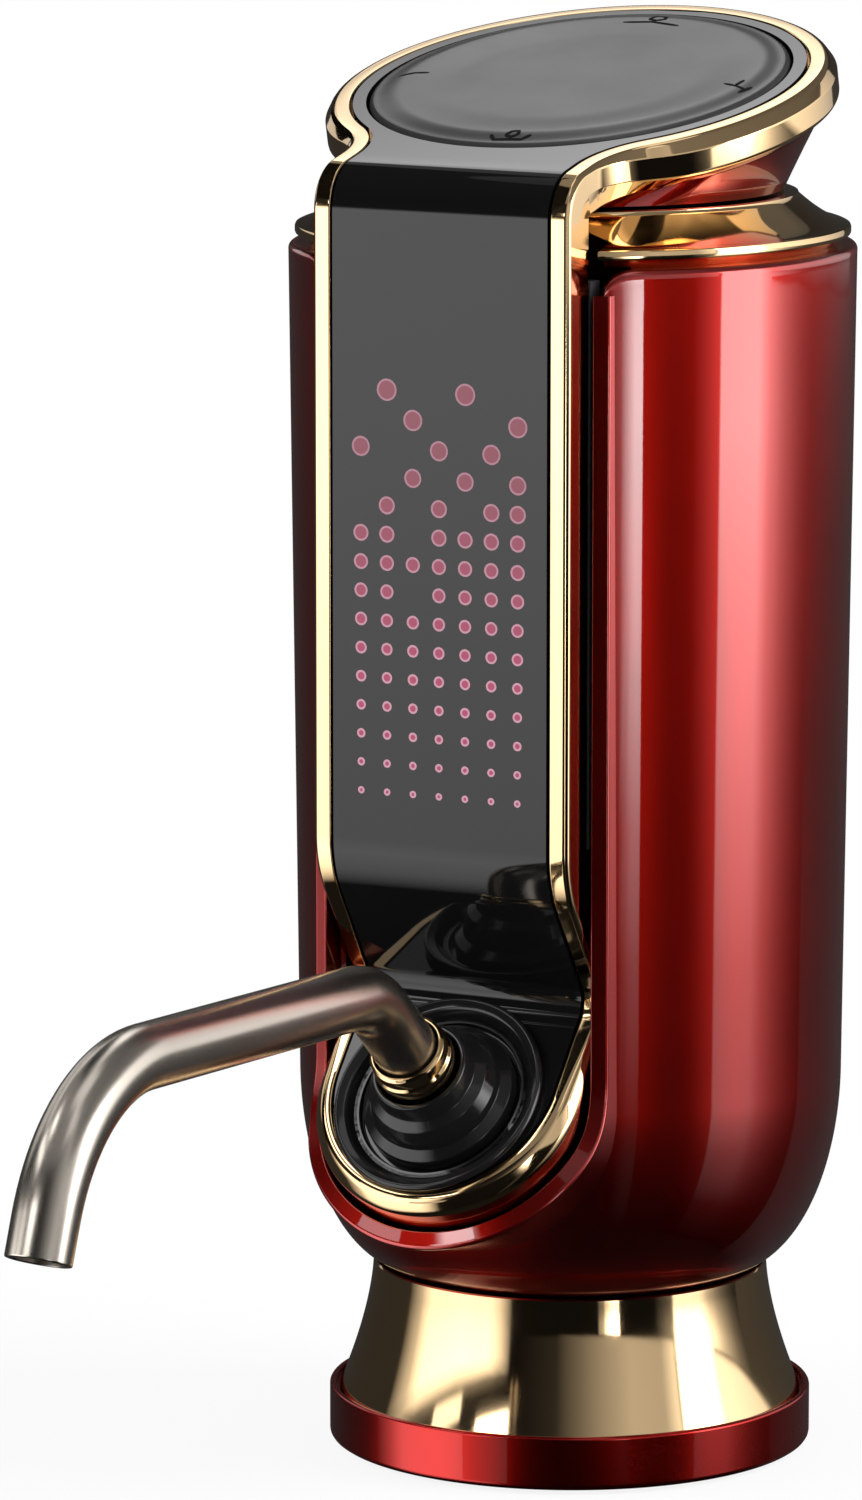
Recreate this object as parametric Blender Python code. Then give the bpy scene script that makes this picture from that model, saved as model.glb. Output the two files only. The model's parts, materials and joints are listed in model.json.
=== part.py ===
# Electric wine aerator: a bottle-top dispenser with a tilting pad, a gear pump and a swivelling spout.
# Metres, +Z up. The origin is the centre of the base, the spout points along -Y.

from math import acos, atan2, cos, pi, radians, sin, sqrt, tan

import bmesh
import bpy
from mathutils import Matrix, Vector

# Clearances
GAP = 0.0003
OVERRUN = 0.0020

# Facets
BODY_FACETS = 36
RING_FACETS = 28
HUB_FACETS = 22
SMALL_FACETS = 12
SCREW_FACETS = 8
TUBE_FACETS = 12
HOSE_FACETS = 8
SMOOTH_ANGLE = radians(35.0)

# Body shell
SHELL_BOTTOM = 0.0209
SHELL_TOP = 0.1342
SHELL_TOP_RADIUS = 0.0311
SHELL_WAIST_RISE = 0.0221
SHELL_WAIST_Z = SHELL_BOTTOM + SHELL_WAIST_RISE
SHELL_TAPER = 0.00105
SHELL_WAIST_RADIUS = SHELL_TOP_RADIUS - SHELL_TAPER
SHELL_WALL = 0.0022
SHELL_FLOOR = 0.0024
SHELL_ROUND_FOOT_RADIUS = 0.01905
SHELL_ROUND_WIDTH = SHELL_WAIST_RADIUS - SHELL_ROUND_FOOT_RADIUS
SHELL_ROUND_SPARE = 0.0005
SHELL_ROUND_HEIGHT = SHELL_WAIST_RISE + SHELL_ROUND_SPARE
SHELL_TOP_BEVEL = 0.0006
SHELL_BORE_RADIUS = 0.0090

# Neck collar
COLLAR_EDGE_INSET = 0.0007
COLLAR_EDGE_RADIUS = SHELL_TOP_RADIUS - COLLAR_EDGE_INSET
COLLAR_EDGE_HEIGHT = 0.0011
COLLAR_SEAM = 0.0010
COLLAR_EDGE_Z = SHELL_TOP + COLLAR_SEAM
COLLAR_GROOVE_DEPTH = 0.0008
COLLAR_GROOVE_RADIUS = COLLAR_EDGE_RADIUS - COLLAR_GROOVE_DEPTH
COLLAR_FLARE_HEIGHT = 0.0036
COLLAR_TOP_Z = COLLAR_EDGE_Z + COLLAR_EDGE_HEIGHT + COLLAR_FLARE_HEIGHT
COLLAR_FLARE_POWER = 1.50
COLLAR_BORE_RADIUS = 0.0150
COLLAR_DECK = 0.0030
COLLAR_SKIRT_DEPTH = 0.0040
COLLAR_SKIRT_WALL = 0.0018

# Head: the tilted top plane
HEAD_CENTRE_Y = 0.0015
HEAD_RISE = 0.0118
HEAD_CENTRE_Z = COLLAR_TOP_Z + HEAD_RISE
HEAD_TILT = radians(13.6)
HEAD_INSET = 0.0039
HEAD_RADIUS = SHELL_TOP_RADIUS - HEAD_INSET
HEAD_BLEND_RADIUS = 0.0100

# Front strip: its side profile
STRIP_HALF_WIDTH = 0.0152
STRIP_PROUD = 0.0001
STRIP_FACE_Y = -SHELL_TOP_RADIUS - STRIP_PROUD
FOLD_RADIUS = 0.0052
CHIN_SETBACK = 0.0015
CHIN_Y = STRIP_FACE_Y + CHIN_SETBACK
CHIN_Z = 0.0458
CHIN_TILT = radians(49.0)
BROW_RISE = 0.0226
BROW_Z = CHIN_Z + BROW_RISE
BROW_RADIUS = 0.0120
WAIST_RISE = 0.0126
WAIST_RADIUS = 0.0030

# Gold trim section
TRIM_FACE_WIDTH = 0.0020
TRIM_LEDGE_WIDTH = 0.0010
TRIM_HEAD_DEPTH = 0.0062
TRIM_STRIP_DEPTH = 0.0048
TRIM_HEAD_BULGE = 0.0009
TRIM_HEAD_CHAMFER = 0.0009
TRIM_HEAD_SIDE = 0.0024
TRIM_HEAD_UNDERCUT = 0.0012
TRIM_STRIP_BULGE = 0.0002
TRIM_STRIP_CHAMFER = 0.0005
TRIM_CHIN_BULGE = 0.0004
TRIM_CHIN_CHAMFER = 0.0012

# Front panel
PANEL_THICKNESS = 0.0020
PAD_MARGIN = 0.0021
PAD_RADIUS = HEAD_RADIUS - TRIM_FACE_WIDTH - PAD_MARGIN
PAD_RIM_GAP = 0.00035

# Raised frame of the shell round the slot
FRAME_SETBACK = 0.0042
SLOT_MARGIN = 0.0009
SLOT_HALF_WIDTH = STRIP_HALF_WIDTH + SLOT_MARGIN
FRAME_BAR_WIDTH = 0.0018
FRAME_HALF_WIDTH = SLOT_HALF_WIDTH + FRAME_BAR_WIDTH
FRAME_BLEND_RADIUS = 0.0120
FRAME_ROOT_DEPTH = 0.0075
FRAME_CHIN_ROOT_DEPTH = 0.0156
FRAME_CHIN_ROOT_DROP = 0.0033
FRAME_EDGE_BEVEL = 0.0005
FRAME_SPARE = 0.0015
SLOT_CUT_REACH = 0.0070
SLOT_DEPTH_SHARE = 1.25

# Neck
NECK_INSET = 0.0054
NECK_RADIUS = HEAD_RADIUS - NECK_INSET
COLLAR_LAND = 0.0020
COLLAR_TOP_RADIUS = NECK_RADIUS + COLLAR_LAND
NECK_WALL = 0.0035
NECK_HEAD_INSET = 0.0015
NECK_LEAST_HEIGHT = 0.0004
NECK_FULL_FLARE_HEIGHT = 0.0030
NECK_SCREW_INSET = 0.0025
NECK_SCREW_CIRCLE = NECK_RADIUS - NECK_SCREW_INSET
NECK_SCREW_REACH = 0.0028

# Foot and base
BASE_RADIUS = 0.0268
BASE_RING_LIFT = 0.0004
BASE_SEAT_Z = 0.0056
BASE_LIP_HEIGHT = 0.0008
BASE_RING_TOP = BASE_SEAT_Z + BASE_LIP_HEIGHT
BASE_LIP_INSET = 0.0007
BASE_LIP_RADIUS = BASE_RADIUS - BASE_LIP_INSET
BASE_BEVEL = 0.0006
SKIRT_INSET = 0.0004
SKIRT_BOTTOM_RADIUS = BASE_LIP_RADIUS - SKIRT_INSET
SKIRT_TOP_RADIUS = 0.0219
SKIRT_FLARE_POWER = 1.6
SKIRT_WALL = 0.0013
SKIRT_FLANGE = 0.0013
SOCKET_RADIUS = 0.0156
SOCKET_ROOF_Z = 0.0165
SKIRT_FLANGE_MARGIN = 0.0009
SKIRT_FLANGE_BORE = SOCKET_RADIUS + SKIRT_FLANGE_MARGIN
PAD_INNER_MARGIN = 0.0012
PAD_INNER_RADIUS = SOCKET_RADIUS + PAD_INNER_MARGIN
PAD_OUTER_MARGIN = 0.0023
PAD_OUTER_RADIUS = BASE_RADIUS - PAD_OUTER_MARGIN
PAD_HEIGHT = 0.0012
STOPPER_RADIUS = 0.0088
STOPPER_FIN_RADIUS = 0.0096
STOPPER_TIP_RADIUS = 0.0075
STOPPER_FINS = 3
STOPPER_FIN_SHARES = (0.40, 0.60)
STOPPER_BOTTOM_Z = 0.0020
STOPPER_BORE_RADIUS = 0.0031
STOPPER_HEAD_HEIGHT = 0.0016
GASKET_INNER_RADIUS = 0.0102
GASKET_MARGIN = 0.0004
GASKET_OUTER_RADIUS = SOCKET_RADIUS - GASKET_MARGIN
GASKET_THICKNESS = 0.0014
INLET_RADIUS = 0.0028
INLET_BORE_RADIUS = 0.0018
INLET_BOTTOM_Z = 0.0012
INLET_BARB = 0.0006
VENT_RADIUS = 0.0011
VENT_BORE_RADIUS = 0.0006
VENT_X = 0.0060
VENT_RISE = 0.0041
VENT_TOP_Z = SHELL_BOTTOM + VENT_RISE

# Screws
SCREW_DOME_SHARE = 0.80
SCREW_RADIUS = 0.0012
SCREW_HEAD_RADIUS = 0.0024
SCREW_HEAD_HEIGHT = 0.0014
SMALL_SCREW_RADIUS = 0.0008
SMALL_SCREW_HEAD_RADIUS = 0.0016
SMALL_SCREW_HEAD_HEIGHT = 0.0009
FOOT_SCREW_CIRCLE = 0.0125
BASE_SCREW_MARGIN = 0.0022
BASE_SCREW_CIRCLE = PAD_INNER_RADIUS + BASE_SCREW_MARGIN
BASE_SCREW_DEPTH = 0.0060

# Chassis
CHASSIS_RISE = 0.0091
CHASSIS_FLOOR_Z = SHELL_BOTTOM + CHASSIS_RISE
CHASSIS_FLOOR_THICKNESS = 0.0025
CHASSIS_CLEARANCE = 0.00335
CHASSIS_RADIUS = SHELL_WAIST_RADIUS - SHELL_WALL - CHASSIS_CLEARANCE
INLET_DROP = 0.0018
INLET_TOP_Z = CHASSIS_FLOOR_Z - INLET_DROP
CHASSIS_FRONT_Y = -0.0080
CHASSIS_LEG_RADIUS = 0.0032
RAIL_INSET = 0.0057
RAIL_X = CHASSIS_RADIUS - RAIL_INSET
RAIL_WIDTH = 0.0024
RAIL_FRONT_Y = -0.0030
RAIL_BACK_Y = 0.0090
CHASSIS_DROP = 0.0102
CHASSIS_TOP_Z = SHELL_TOP - CHASSIS_DROP
SHELF_Z = 0.0690
SHELF_THICKNESS = 0.0020
TOP_PLATE_THICKNESS = 0.0025
HOSE_SLOT_HALF_WIDTH = 0.0062
WIRE_HOLE_RADIUS = 0.0060
WIRE_HOLE_Y = -0.0120
CLIP_RISE = 0.0240
CLIP_Z = SHELF_Z + CLIP_RISE
CLIP_HEIGHT = 0.0080
CLIP_WALL = 0.0012
CLIP_ARM_HEIGHT = 0.0040

# Battery
BATTERY_RADIUS = 0.0091
BATTERY_LENGTH = 0.0500
BATTERY_INSET = 0.0009
BATTERY_Y = CHASSIS_RADIUS - BATTERY_RADIUS - BATTERY_INSET
BATTERY_ARM_SHARE = 0.92
BATTERY_CAP_RADIUS = 0.0035
BATTERY_CAP_HEIGHT = 0.0008

# Main board
BOARD_THICKNESS = 0.0012
BOARD_MARGIN = 0.0002
BOARD_HALF_WIDTH = RAIL_X + BOARD_MARGIN
BOARD_RISE = 0.0070
BOARD_BOTTOM_Z = SHELF_Z + BOARD_RISE
BOARD_DROP = 0.0040
BOARD_TOP_Z = CHASSIS_TOP_Z - BOARD_DROP
CHIP_SIZE = 0.0070
CHIP_THICKNESS = 0.0011

# Pump and motor
PUMP_X = 0.0
PUMP_Y = 0.0090
GEAR_CENTRES = 0.0080
GEAR_TEETH = 10
GEAR_TIP_RADIUS = 0.0046
GEAR_ROOT_RADIUS = 0.0031
GEAR_TIP_SHARE = 0.20
GEAR_ROOT_SHARE = 0.50
GEAR_HEIGHT = 0.0046
GEAR_BORE_RADIUS = 0.0013
SHAFT_RADIUS = 0.0010
PUMP_HALF_LENGTH = 0.0110
PUMP_HALF_WIDTH = 0.0080
PUMP_CORNER = 0.0020
PUMP_SCREW_INSET = 0.0022
PUMP_BASE = 0.0035
PUMP_COVER = 0.0020
PUMP_POCKET_RADIUS = 0.0050
PUMP_PORT_RADIUS = 0.0020
PUMP_PORT_X = 0.0044
PUMP_PORT_BORE = 0.0012
PUMP_PORT_LENGTH = 0.0045
PUMP_PORT_ROOT_SHARE = 0.30
PUMP_BORE_SHARE = 0.80
MOTOR_RADIUS = 0.0095
MOTOR_LENGTH = 0.0210
MOTOR_SHAFT_GRIP = 0.0120
MOTOR_BOSS_RADIUS = 0.0030
MOTOR_BOSS_HEIGHT = 0.0010

# Hub, on the chin plane
HUB_DROP = 0.0019
DISH_RADIUS = 0.0114
DISH_LIP_HEIGHT = 0.0015
DISH_LIP_SHARES = ((1.0, 0.75), (0.965, 1.0), (0.925, 1.0))
DISH_SLOPE_SHARE = 0.20
DISH_STEM_RADIUS = 0.0093
DISH_FLOOR_DEPTH = 0.0009
DISH_STEM_DEPTH = 0.0026
CONE_RADIUS = 0.0087
CONE_HEIGHT = 0.0066
CONE_SHARES = (
    (1.0, 0.0),
    (0.98, 0.26),
    (0.90, 0.32),
    (0.88, 0.40),
    (0.79, 0.66),
    (0.71, 0.72),
    (0.64, 0.96),
    (0.61, 1.0),
)
FERRULE_RADIUS = 0.0045
FERRULE_NECK_RADIUS = 0.00425
FERRULE_BOTTOM = 0.0030
FERRULE_STEP = 0.0088
FERRULE_TOP = 0.0104
SLEEVE_RADIUS = 0.0032
SLEEVE_BORE_RADIUS = 0.0022
SLEEVE_TOP = 0.0078
SLEEVE_BOTTOM = -0.0138
CLIP_RING_RADIUS = 0.0048
CLIP_RING_THICKNESS = 0.0008
CLIP_RING_DEPTH = 0.0125
HUB_SOCKET_FLANGE_RADIUS = 0.0098
HUB_SOCKET_FLANGE = 0.0018
HUB_SOCKET_RADIUS = 0.0064
HUB_SOCKET_DEPTH = 0.0115
SEAL_GROOVE_RADIUS = 0.0047
SEAL_GROOVE_WIDTH = 0.0018
SEAL_DEPTH = 0.0075
SEAL_CORD_RADIUS = 0.0005
CHAMBER_RADIUS = 0.0062
CHAMBER_WALL = 0.0012
CHAMBER_DEPTH = 0.0185
CHAMBER_PORT_RADIUS = 0.0022
CHAMBER_PORT_LENGTH = 0.0030
HUB_SCREW_CIRCLE = 0.0080
HUB_SCREW_HEAD_RADIUS = 0.00136
HUB_SCREW_REACH = 0.0010

# Spout
SPOUT_RADIUS = 0.00345
SPOUT_BORE_RADIUS = 0.00275
SPOUT_START = 0.0082
SPOUT_ELBOW = 0.0216
SPOUT_ELBOW_RADIUS = 0.0100
SPOUT_RUN_RISE = radians(2.4)
SPOUT_RUN_REACH = 0.1090
SPOUT_BEND_RADIUS = 0.0200
SPOUT_TIP_DROP = radians(69.0)
SPOUT_TIP_LENGTH = 0.0187

# Control pad and what carries it
PAD_THICKNESS = 0.0018
PAD_PROUD = 0.0003
PAD_CREST = 0.0008
PAD_EDGE_SHARE = 0.97
PAD_CREST_SHARE = 0.84
PAD_FLAT_SHARE = 0.66
CARRIER_MARGIN = 0.0007
CARRIER_RADIUS = PAD_RADIUS + CARRIER_MARGIN
CARRIER_TOP = 0.0031
CARRIER_THICKNESS = 0.0014
CARRIER_SEAT_WALL = 0.0018
CARRIER_FRONT = -0.0080
SWITCH_SIZE = 0.0045
SWITCH_WINDOW = 0.0060
SWITCH_PLUNGER_RADIUS = 0.0012
SWITCH_PLUNGER_DROP = 0.0021
CONTROL_BOARD_MARGIN = 0.0055
CONTROL_BOARD_RADIUS = PAD_RADIUS - CONTROL_BOARD_MARGIN
SWITCH_INSET = 0.0026
SWITCH_CIRCLE = CONTROL_BOARD_RADIUS - SWITCH_INSET
CONTROL_BOARD_DEPTH = 0.0056
PIVOT_DEPTH = 0.0032
CROSS_RADIUS = 0.0024
CROSS_THICKNESS = 0.0012
CROSS_PIN_RADIUS = 0.0005
CROSS_PIN_REACH = 0.0040
EAR_START = 0.0029
EAR_THICKNESS = 0.0010
EAR_HALF_WIDTH = 0.0014
EAR_HOLE_RADIUS = 0.0008
EAR_DROP = 0.0013
PIVOT_WELL_RADIUS = 0.0056
POST_BASE_THICKNESS = 0.00042

# Display behind the strip
DISPLAY_MARGIN = 0.0036
DISPLAY_HALF_WIDTH = STRIP_HALF_WIDTH - DISPLAY_MARGIN
DISPLAY_RISE = 0.0066
DISPLAY_BOTTOM_Z = BROW_Z + DISPLAY_RISE
DISPLAY_DROP = 0.0102
DISPLAY_TOP_Z = SHELL_TOP - DISPLAY_DROP
DIFFUSER_THICKNESS = 0.0010
LIGHT_SIZE = 0.0016
LIGHT_THICKNESS = 0.0008
LIGHT_ROWS = 5
LIGHT_COLUMNS = 4
PANEL_CARRIER_THICKNESS = 0.0022
PANEL_CARRIER_MARGIN = 0.0002
PANEL_CARRIER_HALF_WIDTH = STRIP_HALF_WIDTH + PANEL_CARRIER_MARGIN
PANEL_CARRIER_RISE = 0.0036
PANEL_CARRIER_BOTTOM_Z = BROW_Z + PANEL_CARRIER_RISE
PANEL_CARRIER_DROP = 0.0012
PANEL_CARRIER_TOP_Z = SHELL_TOP - PANEL_CARRIER_DROP

# Charging port at the back
PORT_Z = 0.0500
PORT_HALF_WIDTH = 0.0045
PORT_HEIGHT = 0.0032
PORT_LENGTH = 0.0080
PORT_WALL = 0.0005
PORT_BEZEL_HALF_WIDTH = 0.0066
PORT_BEZEL_HEIGHT = 0.0062
PORT_BEZEL_INSET = 0.00005
PORT_BEZEL_BACK_Y = SHELL_WAIST_RADIUS - PORT_BEZEL_INSET
PORT_BEZEL_DEPTH = 0.0032
PORT_BEZEL_FRONT_Y = PORT_BEZEL_BACK_Y - PORT_BEZEL_DEPTH
PORT_BOARD_HALF_WIDTH = 0.0080
PORT_BOARD_LENGTH = 0.0080
PORT_COLUMN_RADIUS = 0.0028

# Hoses
HOSE_RADIUS = 0.0017
HOSE_BORE_RADIUS = 0.0010
HOSE_BEND_RADIUS = 0.0024
HOSE_RISE = 0.0032
HOSE_LOOP = 0.0065
HOSE_LOOP_DROP = 0.0065


def clear_scene():
    for old in list(bpy.data.objects):
        bpy.data.objects.remove(old, do_unlink=True)


def finish(name, colour, roughness, metallic):
    """A plain material: colour, roughness and metallic value."""
    made = bpy.data.materials.new(name)
    made.use_nodes = True
    shader = made.node_tree.nodes["Principled BSDF"]
    shader.inputs["Base Color"].default_value = (*colour, 1.0)
    shader.inputs["Roughness"].default_value = roughness
    shader.inputs["Metallic"].default_value = metallic
    return made


def empty(name, place, tilt=0.0):
    """A frame whose Z axis leans forward by tilt."""
    made = bpy.data.objects.new(name, None)
    made.location = place
    made.rotation_euler = (tilt, 0.0, 0.0)
    bpy.context.scene.collection.objects.link(made)
    return made


def solid(name, points, faces, material, parent=None, place=(0.0, 0.0, 0.0), turn=(0.0, 0.0, 0.0)):
    """An object from points and faces, smooth where its faces meet at a low angle."""
    mesh = bpy.data.meshes.new(name)
    mesh.from_pydata([tuple(p) for p in points], [], faces)
    mesh.validate()
    mesh.materials.append(material)
    made = bpy.data.objects.new(name, mesh)
    made.location = place
    made.rotation_euler = turn
    made.parent = parent
    bpy.context.scene.collection.objects.link(made)
    face_outwards(mesh)
    mesh.shade_smooth()
    mesh.set_sharp_from_angle(angle=SMOOTH_ANGLE)
    return made


def face_outwards(mesh):
    work = bmesh.new()
    work.from_mesh(mesh)
    bmesh.ops.recalc_face_normals(work, faces=work.faces)
    work.to_mesh(mesh)
    work.free()


def guide(made):
    """Marks an object as a cutter, which is not part of the model."""
    made.hide_render = True
    made.display_type = "WIRE"
    return made


def combine(target, other, how, solver):
    change = target.modifiers.new(how.lower() + "_" + other.name, "BOOLEAN")
    change.operation = how
    change.object = other
    change.solver = solver
    guide(other)


def cut(target, *others, solver="EXACT"):
    for other in others:
        combine(target, other, "DIFFERENCE", solver)


def join(target, *others, solver="EXACT"):
    for other in others:
        combine(target, other, "UNION", solver)


def turned_mesh(profile, facets, start=0):
    """Points and faces of a closed profile (radius, height) turned round Z."""
    points = []
    rows = []
    for radius, height in profile:
        first = start + len(points)
        if radius <= 0.0:
            points.append((0.0, 0.0, height))
            rows.append([first] * facets)
        else:
            for i in range(facets):
                angle = 2.0 * pi * (i + 0.5) / facets
                points.append((radius * cos(angle), radius * sin(angle), height))
            rows.append(list(range(first, first + facets)))
    faces = []
    for row, after in zip(rows, rows[1:] + rows[:1]):
        for i in range(facets):
            j = (i + 1) % facets
            corners = [row[i], row[j], after[j], after[i]]
            face = [c for k, c in enumerate(corners) if c != corners[k - 1]]
            if len(face) > 2:
                faces.append(face)
    return points, faces


def turned(name, profile, facets, material, parent=None, place=(0.0, 0.0, 0.0), turn=(0.0, 0.0, 0.0)):
    points, faces = turned_mesh(profile, facets)
    return solid(name, points, faces, material, parent, place, turn)


def turned_set(name, profile, facets, places, material, parent=None):
    """A cutter or a set of lugs: the same turned shape at several places."""
    points = []
    faces = []
    for place in places:
        some, theirs = turned_mesh(profile, facets, len(points))
        points += [Vector(p) + Vector(place) for p in some]
        faces += theirs
    return solid(name, points, faces, material, parent)


def screws(name, profile, places, material, parent=None, turn=(0.0, 0.0, 0.0)):
    """Numbered screws that share one mesh."""
    first = turned(name + "_1", profile, SCREW_FACETS, material, parent, places[0], turn)
    for i, place in enumerate(places[1:], start=2):
        twin = bpy.data.objects.new(name + "_" + str(i), first.data)
        twin.location = place
        twin.rotation_euler = turn
        twin.parent = parent
        bpy.context.scene.collection.objects.link(twin)


def prism(name, outline, low, high, material, parent=None, place=(0.0, 0.0, 0.0), turn=(0.0, 0.0, 0.0)):
    """A flat outline (x, y) raised from low to high."""
    count = len(outline)
    points = [(x, y, low) for x, y in outline] + [(x, y, high) for x, y in outline]
    faces = [list(range(count)), list(range(count, 2 * count))]
    faces += [[i, (i + 1) % count, count + (i + 1) % count, count + i] for i in range(count)]
    return solid(name, points, faces, material, parent, place, turn)


def box_mesh(low, high, start=0):
    xs, ys, zs = zip(low, high)
    points = [(x, y, z) for x in xs for y in ys for z in zs]
    faces = [(0, 1, 3, 2), (4, 6, 7, 5), (0, 4, 5, 1), (2, 3, 7, 6), (0, 2, 6, 4), (1, 5, 7, 3)]
    return points, [[start + i for i in face] for face in faces]


def block(name, low, high, material, parent=None):
    points, faces = box_mesh(low, high)
    return solid(name, points, faces, material, parent)


def block_set(name, boxes, material, parent=None):
    points = []
    faces = []
    for low, high in boxes:
        some, theirs = box_mesh(low, high, len(points))
        points += some
        faces += theirs
    return solid(name, points, faces, material, parent)


def rod(radius, low, high):
    """Profile of a plain rod."""
    return [(0.0, low), (radius, low), (radius, high), (0.0, high)]


def ring(inner, outer, low, high):
    """Profile of a plain ring."""
    return [(inner, low), (outer, low), (outer, high), (inner, high)]


def screw(radius, head_radius, head_height, length):
    """Profile of a screw whose head stands below its seat at height zero and whose shank points up."""
    return [
        (0.0, -head_height),
        (head_radius * SCREW_DOME_SHARE, -head_height),
        (head_radius, -head_height / 2.0),
        (head_radius, 0.0),
        (radius, 0.0),
        (radius, length - radius),
        (0.0, length),
    ]


def circle_places(radius, count, height, start=0.0):
    return [
        (radius * cos(start + 2.0 * pi * i / count), radius * sin(start + 2.0 * pi * i / count), height)
        for i in range(count)
    ]


def swept(name, rings, material, closed=False, parent=None):
    """A solid through equal rings of points, capped at its ends unless it closes on itself."""
    size = len(rings[0])
    points = [p for one in rings for p in one]
    faces = []
    spans = len(rings) if closed else len(rings) - 1
    for k in range(spans):
        a = k * size
        b = ((k + 1) % len(rings)) * size
        for i in range(size):
            j = (i + 1) % size
            faces.append([a + i, a + j, b + j, b + i])
    if not closed:
        faces.append(list(range(size)))
        faces.append(list(range((len(rings) - 1) * size, len(rings) * size)))
    return solid(name, points, faces, material, parent)


def rounded_route(corners, radii, steps=8):
    """Points along straight runs in space, joined by round bends."""
    corners = [Vector(c) for c in corners]
    route = [corners[0]]
    for before, corner, after, radius in zip(corners, corners[1:], corners[2:], radii):
        u = (before - corner).normalized()
        v = (after - corner).normalized()
        half = acos(max(-1.0, min(1.0, u.dot(v)))) / 2.0
        reach = radius / tan(half)
        centre = corner + (u + v).normalized() * (radius / sin(half))
        first = corner + u * reach - centre
        sweep = pi - 2.0 * half
        axis = (u.cross(v)).normalized()
        for i in range(steps + 1):
            route.append(centre + Matrix.Rotation(-sweep * i / steps, 3, axis) @ first)
    route.append(corners[-1])
    return route


def tube(name, route, outer, inner, facets, material, parent=None):
    """A tube with an open bore along a route of points."""
    route = [Vector(p) for p in route]
    ahead = [(b - a).normalized() for a, b in zip(route, route[1:])]
    tangents = [ahead[0]] + [(a + b).normalized() for a, b in zip(ahead, ahead[1:])] + [ahead[-1]]
    side = Vector((1.0, 0.0, 0.0))
    if abs(side.dot(tangents[0])) > sqrt(0.5):
        side = Vector((0.0, 1.0, 0.0))
    points = []
    for place, tangent in zip(route, tangents):
        side = (side - tangent * side.dot(tangent)).normalized()
        up = tangent.cross(side)
        for radius in (outer, inner):
            for i in range(facets):
                angle = 2.0 * pi * i / facets
                points.append(place + (side * cos(angle) + up * sin(angle)) * radius)
    faces = []
    for k in range(len(route) - 1):
        for shift in (0, facets):
            a = 2 * k * facets + shift
            b = a + 2 * facets
            for i in range(facets):
                j = (i + 1) % facets
                faces.append([a + i, a + j, b + j, b + i])
    for a in (0, 2 * (len(route) - 1) * facets):
        for i in range(facets):
            j = (i + 1) % facets
            faces.append([a + i, a + j, a + facets + j, a + facets + i])
    return solid(name, points, faces, material, parent)


class SideProfile:
    """A path in the (Y, Z) plane of straight runs joined by round bends, walked by its length."""

    def __init__(self, corners, radii):
        self.runs = []
        self.knots = [0.0]
        place = Vector(corners[0])
        for i, corner in enumerate(corners[1:]):
            ahead = Vector(corner) - place
            angle = atan2(ahead.y, ahead.x)
            if i < len(radii):
                after = Vector(corners[i + 2]) - Vector(corner)
                turn = atan2(after.y, after.x) - angle
                turn = (turn + pi) % (2.0 * pi) - pi
                reach = radii[i] * tan(abs(turn) / 2.0)
                self.add(ahead.length - reach, place, angle, 0.0)
                start = Vector(corner) - ahead.normalized() * reach
                bend = radii[i] * abs(turn)
                self.add(bend, start, angle, turn / bend)
                place = Vector(corner) + after.normalized() * reach
            else:
                self.add(ahead.length, place, angle, 0.0)

    def add(self, length, place, angle, curve):
        self.runs.append((self.knots[-1], place, angle, curve))
        self.knots.append(self.knots[-1] + length)

    def at(self, walked):
        """The point, the direction of travel and the outward direction after a walked length."""
        start, place, angle, curve = self.runs[0]
        for run in self.runs:
            if walked >= run[0]:
                start, place, angle, curve = run
        ahead = walked - start
        if curve:
            end = angle + curve * ahead
            point = place + Vector((sin(end) - sin(angle), cos(angle) - cos(end))) / curve
        else:
            end = angle
            point = place + Vector((cos(end), sin(end))) * ahead
        return (
            Vector((0.0, point.x, point.y)),
            Vector((0.0, cos(end), sin(end))),
            Vector((0.0, sin(end), -cos(end))),
        )

    def bend_stations(self, index, steps):
        low, high = self.knots[index], self.knots[index + 1]
        return [low + (high - low) * i / steps for i in range(steps + 1)]


# Directions that the tilted planes give
HEAD_BACK = Vector((0.0, cos(HEAD_TILT), sin(HEAD_TILT)))
HEAD_UP = Vector((0.0, -sin(HEAD_TILT), cos(HEAD_TILT)))
CHIN_BACK = Vector((0.0, cos(CHIN_TILT), sin(CHIN_TILT)))
CHIN_OUT = Vector((0.0, -sin(CHIN_TILT), cos(CHIN_TILT)))
HEAD_CENTRE = Vector((0.0, HEAD_CENTRE_Y, HEAD_CENTRE_Z))
CHIN_CENTRE = Vector((0.0, CHIN_Y, CHIN_Z))
HUB_CENTRE = CHIN_CENTRE - CHIN_BACK * HUB_DROP
WAIST = CHIN_CENTRE + CHIN_BACK * WAIST_RISE
FOLD_Z = HEAD_CENTRE_Z + (STRIP_FACE_Y - HEAD_CENTRE_Y) * tan(HEAD_TILT)

# The strip's profile starts behind the head and ends below the chin
PROFILE_START = HEAD_CENTRE + HEAD_BACK * (HEAD_RADIUS + OVERRUN)
PROFILE_END = CHIN_CENTRE - CHIN_BACK * (STRIP_HALF_WIDTH + OVERRUN)
STRIP = SideProfile(
    [
        (PROFILE_START.y, PROFILE_START.z),
        (STRIP_FACE_Y, FOLD_Z),
        (STRIP_FACE_Y, BROW_Z),
        (WAIST.y, WAIST.z),
        (PROFILE_END.y, PROFILE_END.z),
    ],
    [FOLD_RADIUS, BROW_RADIUS, WAIST_RADIUS],
)
HEAD_W = HEAD_RADIUS + OVERRUN
CHIN_W = STRIP.knots[-1] - STRIP_HALF_WIDTH - OVERRUN
FOLD_BEND, BROW_BEND, WAIST_BEND = 1, 3, 5

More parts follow.
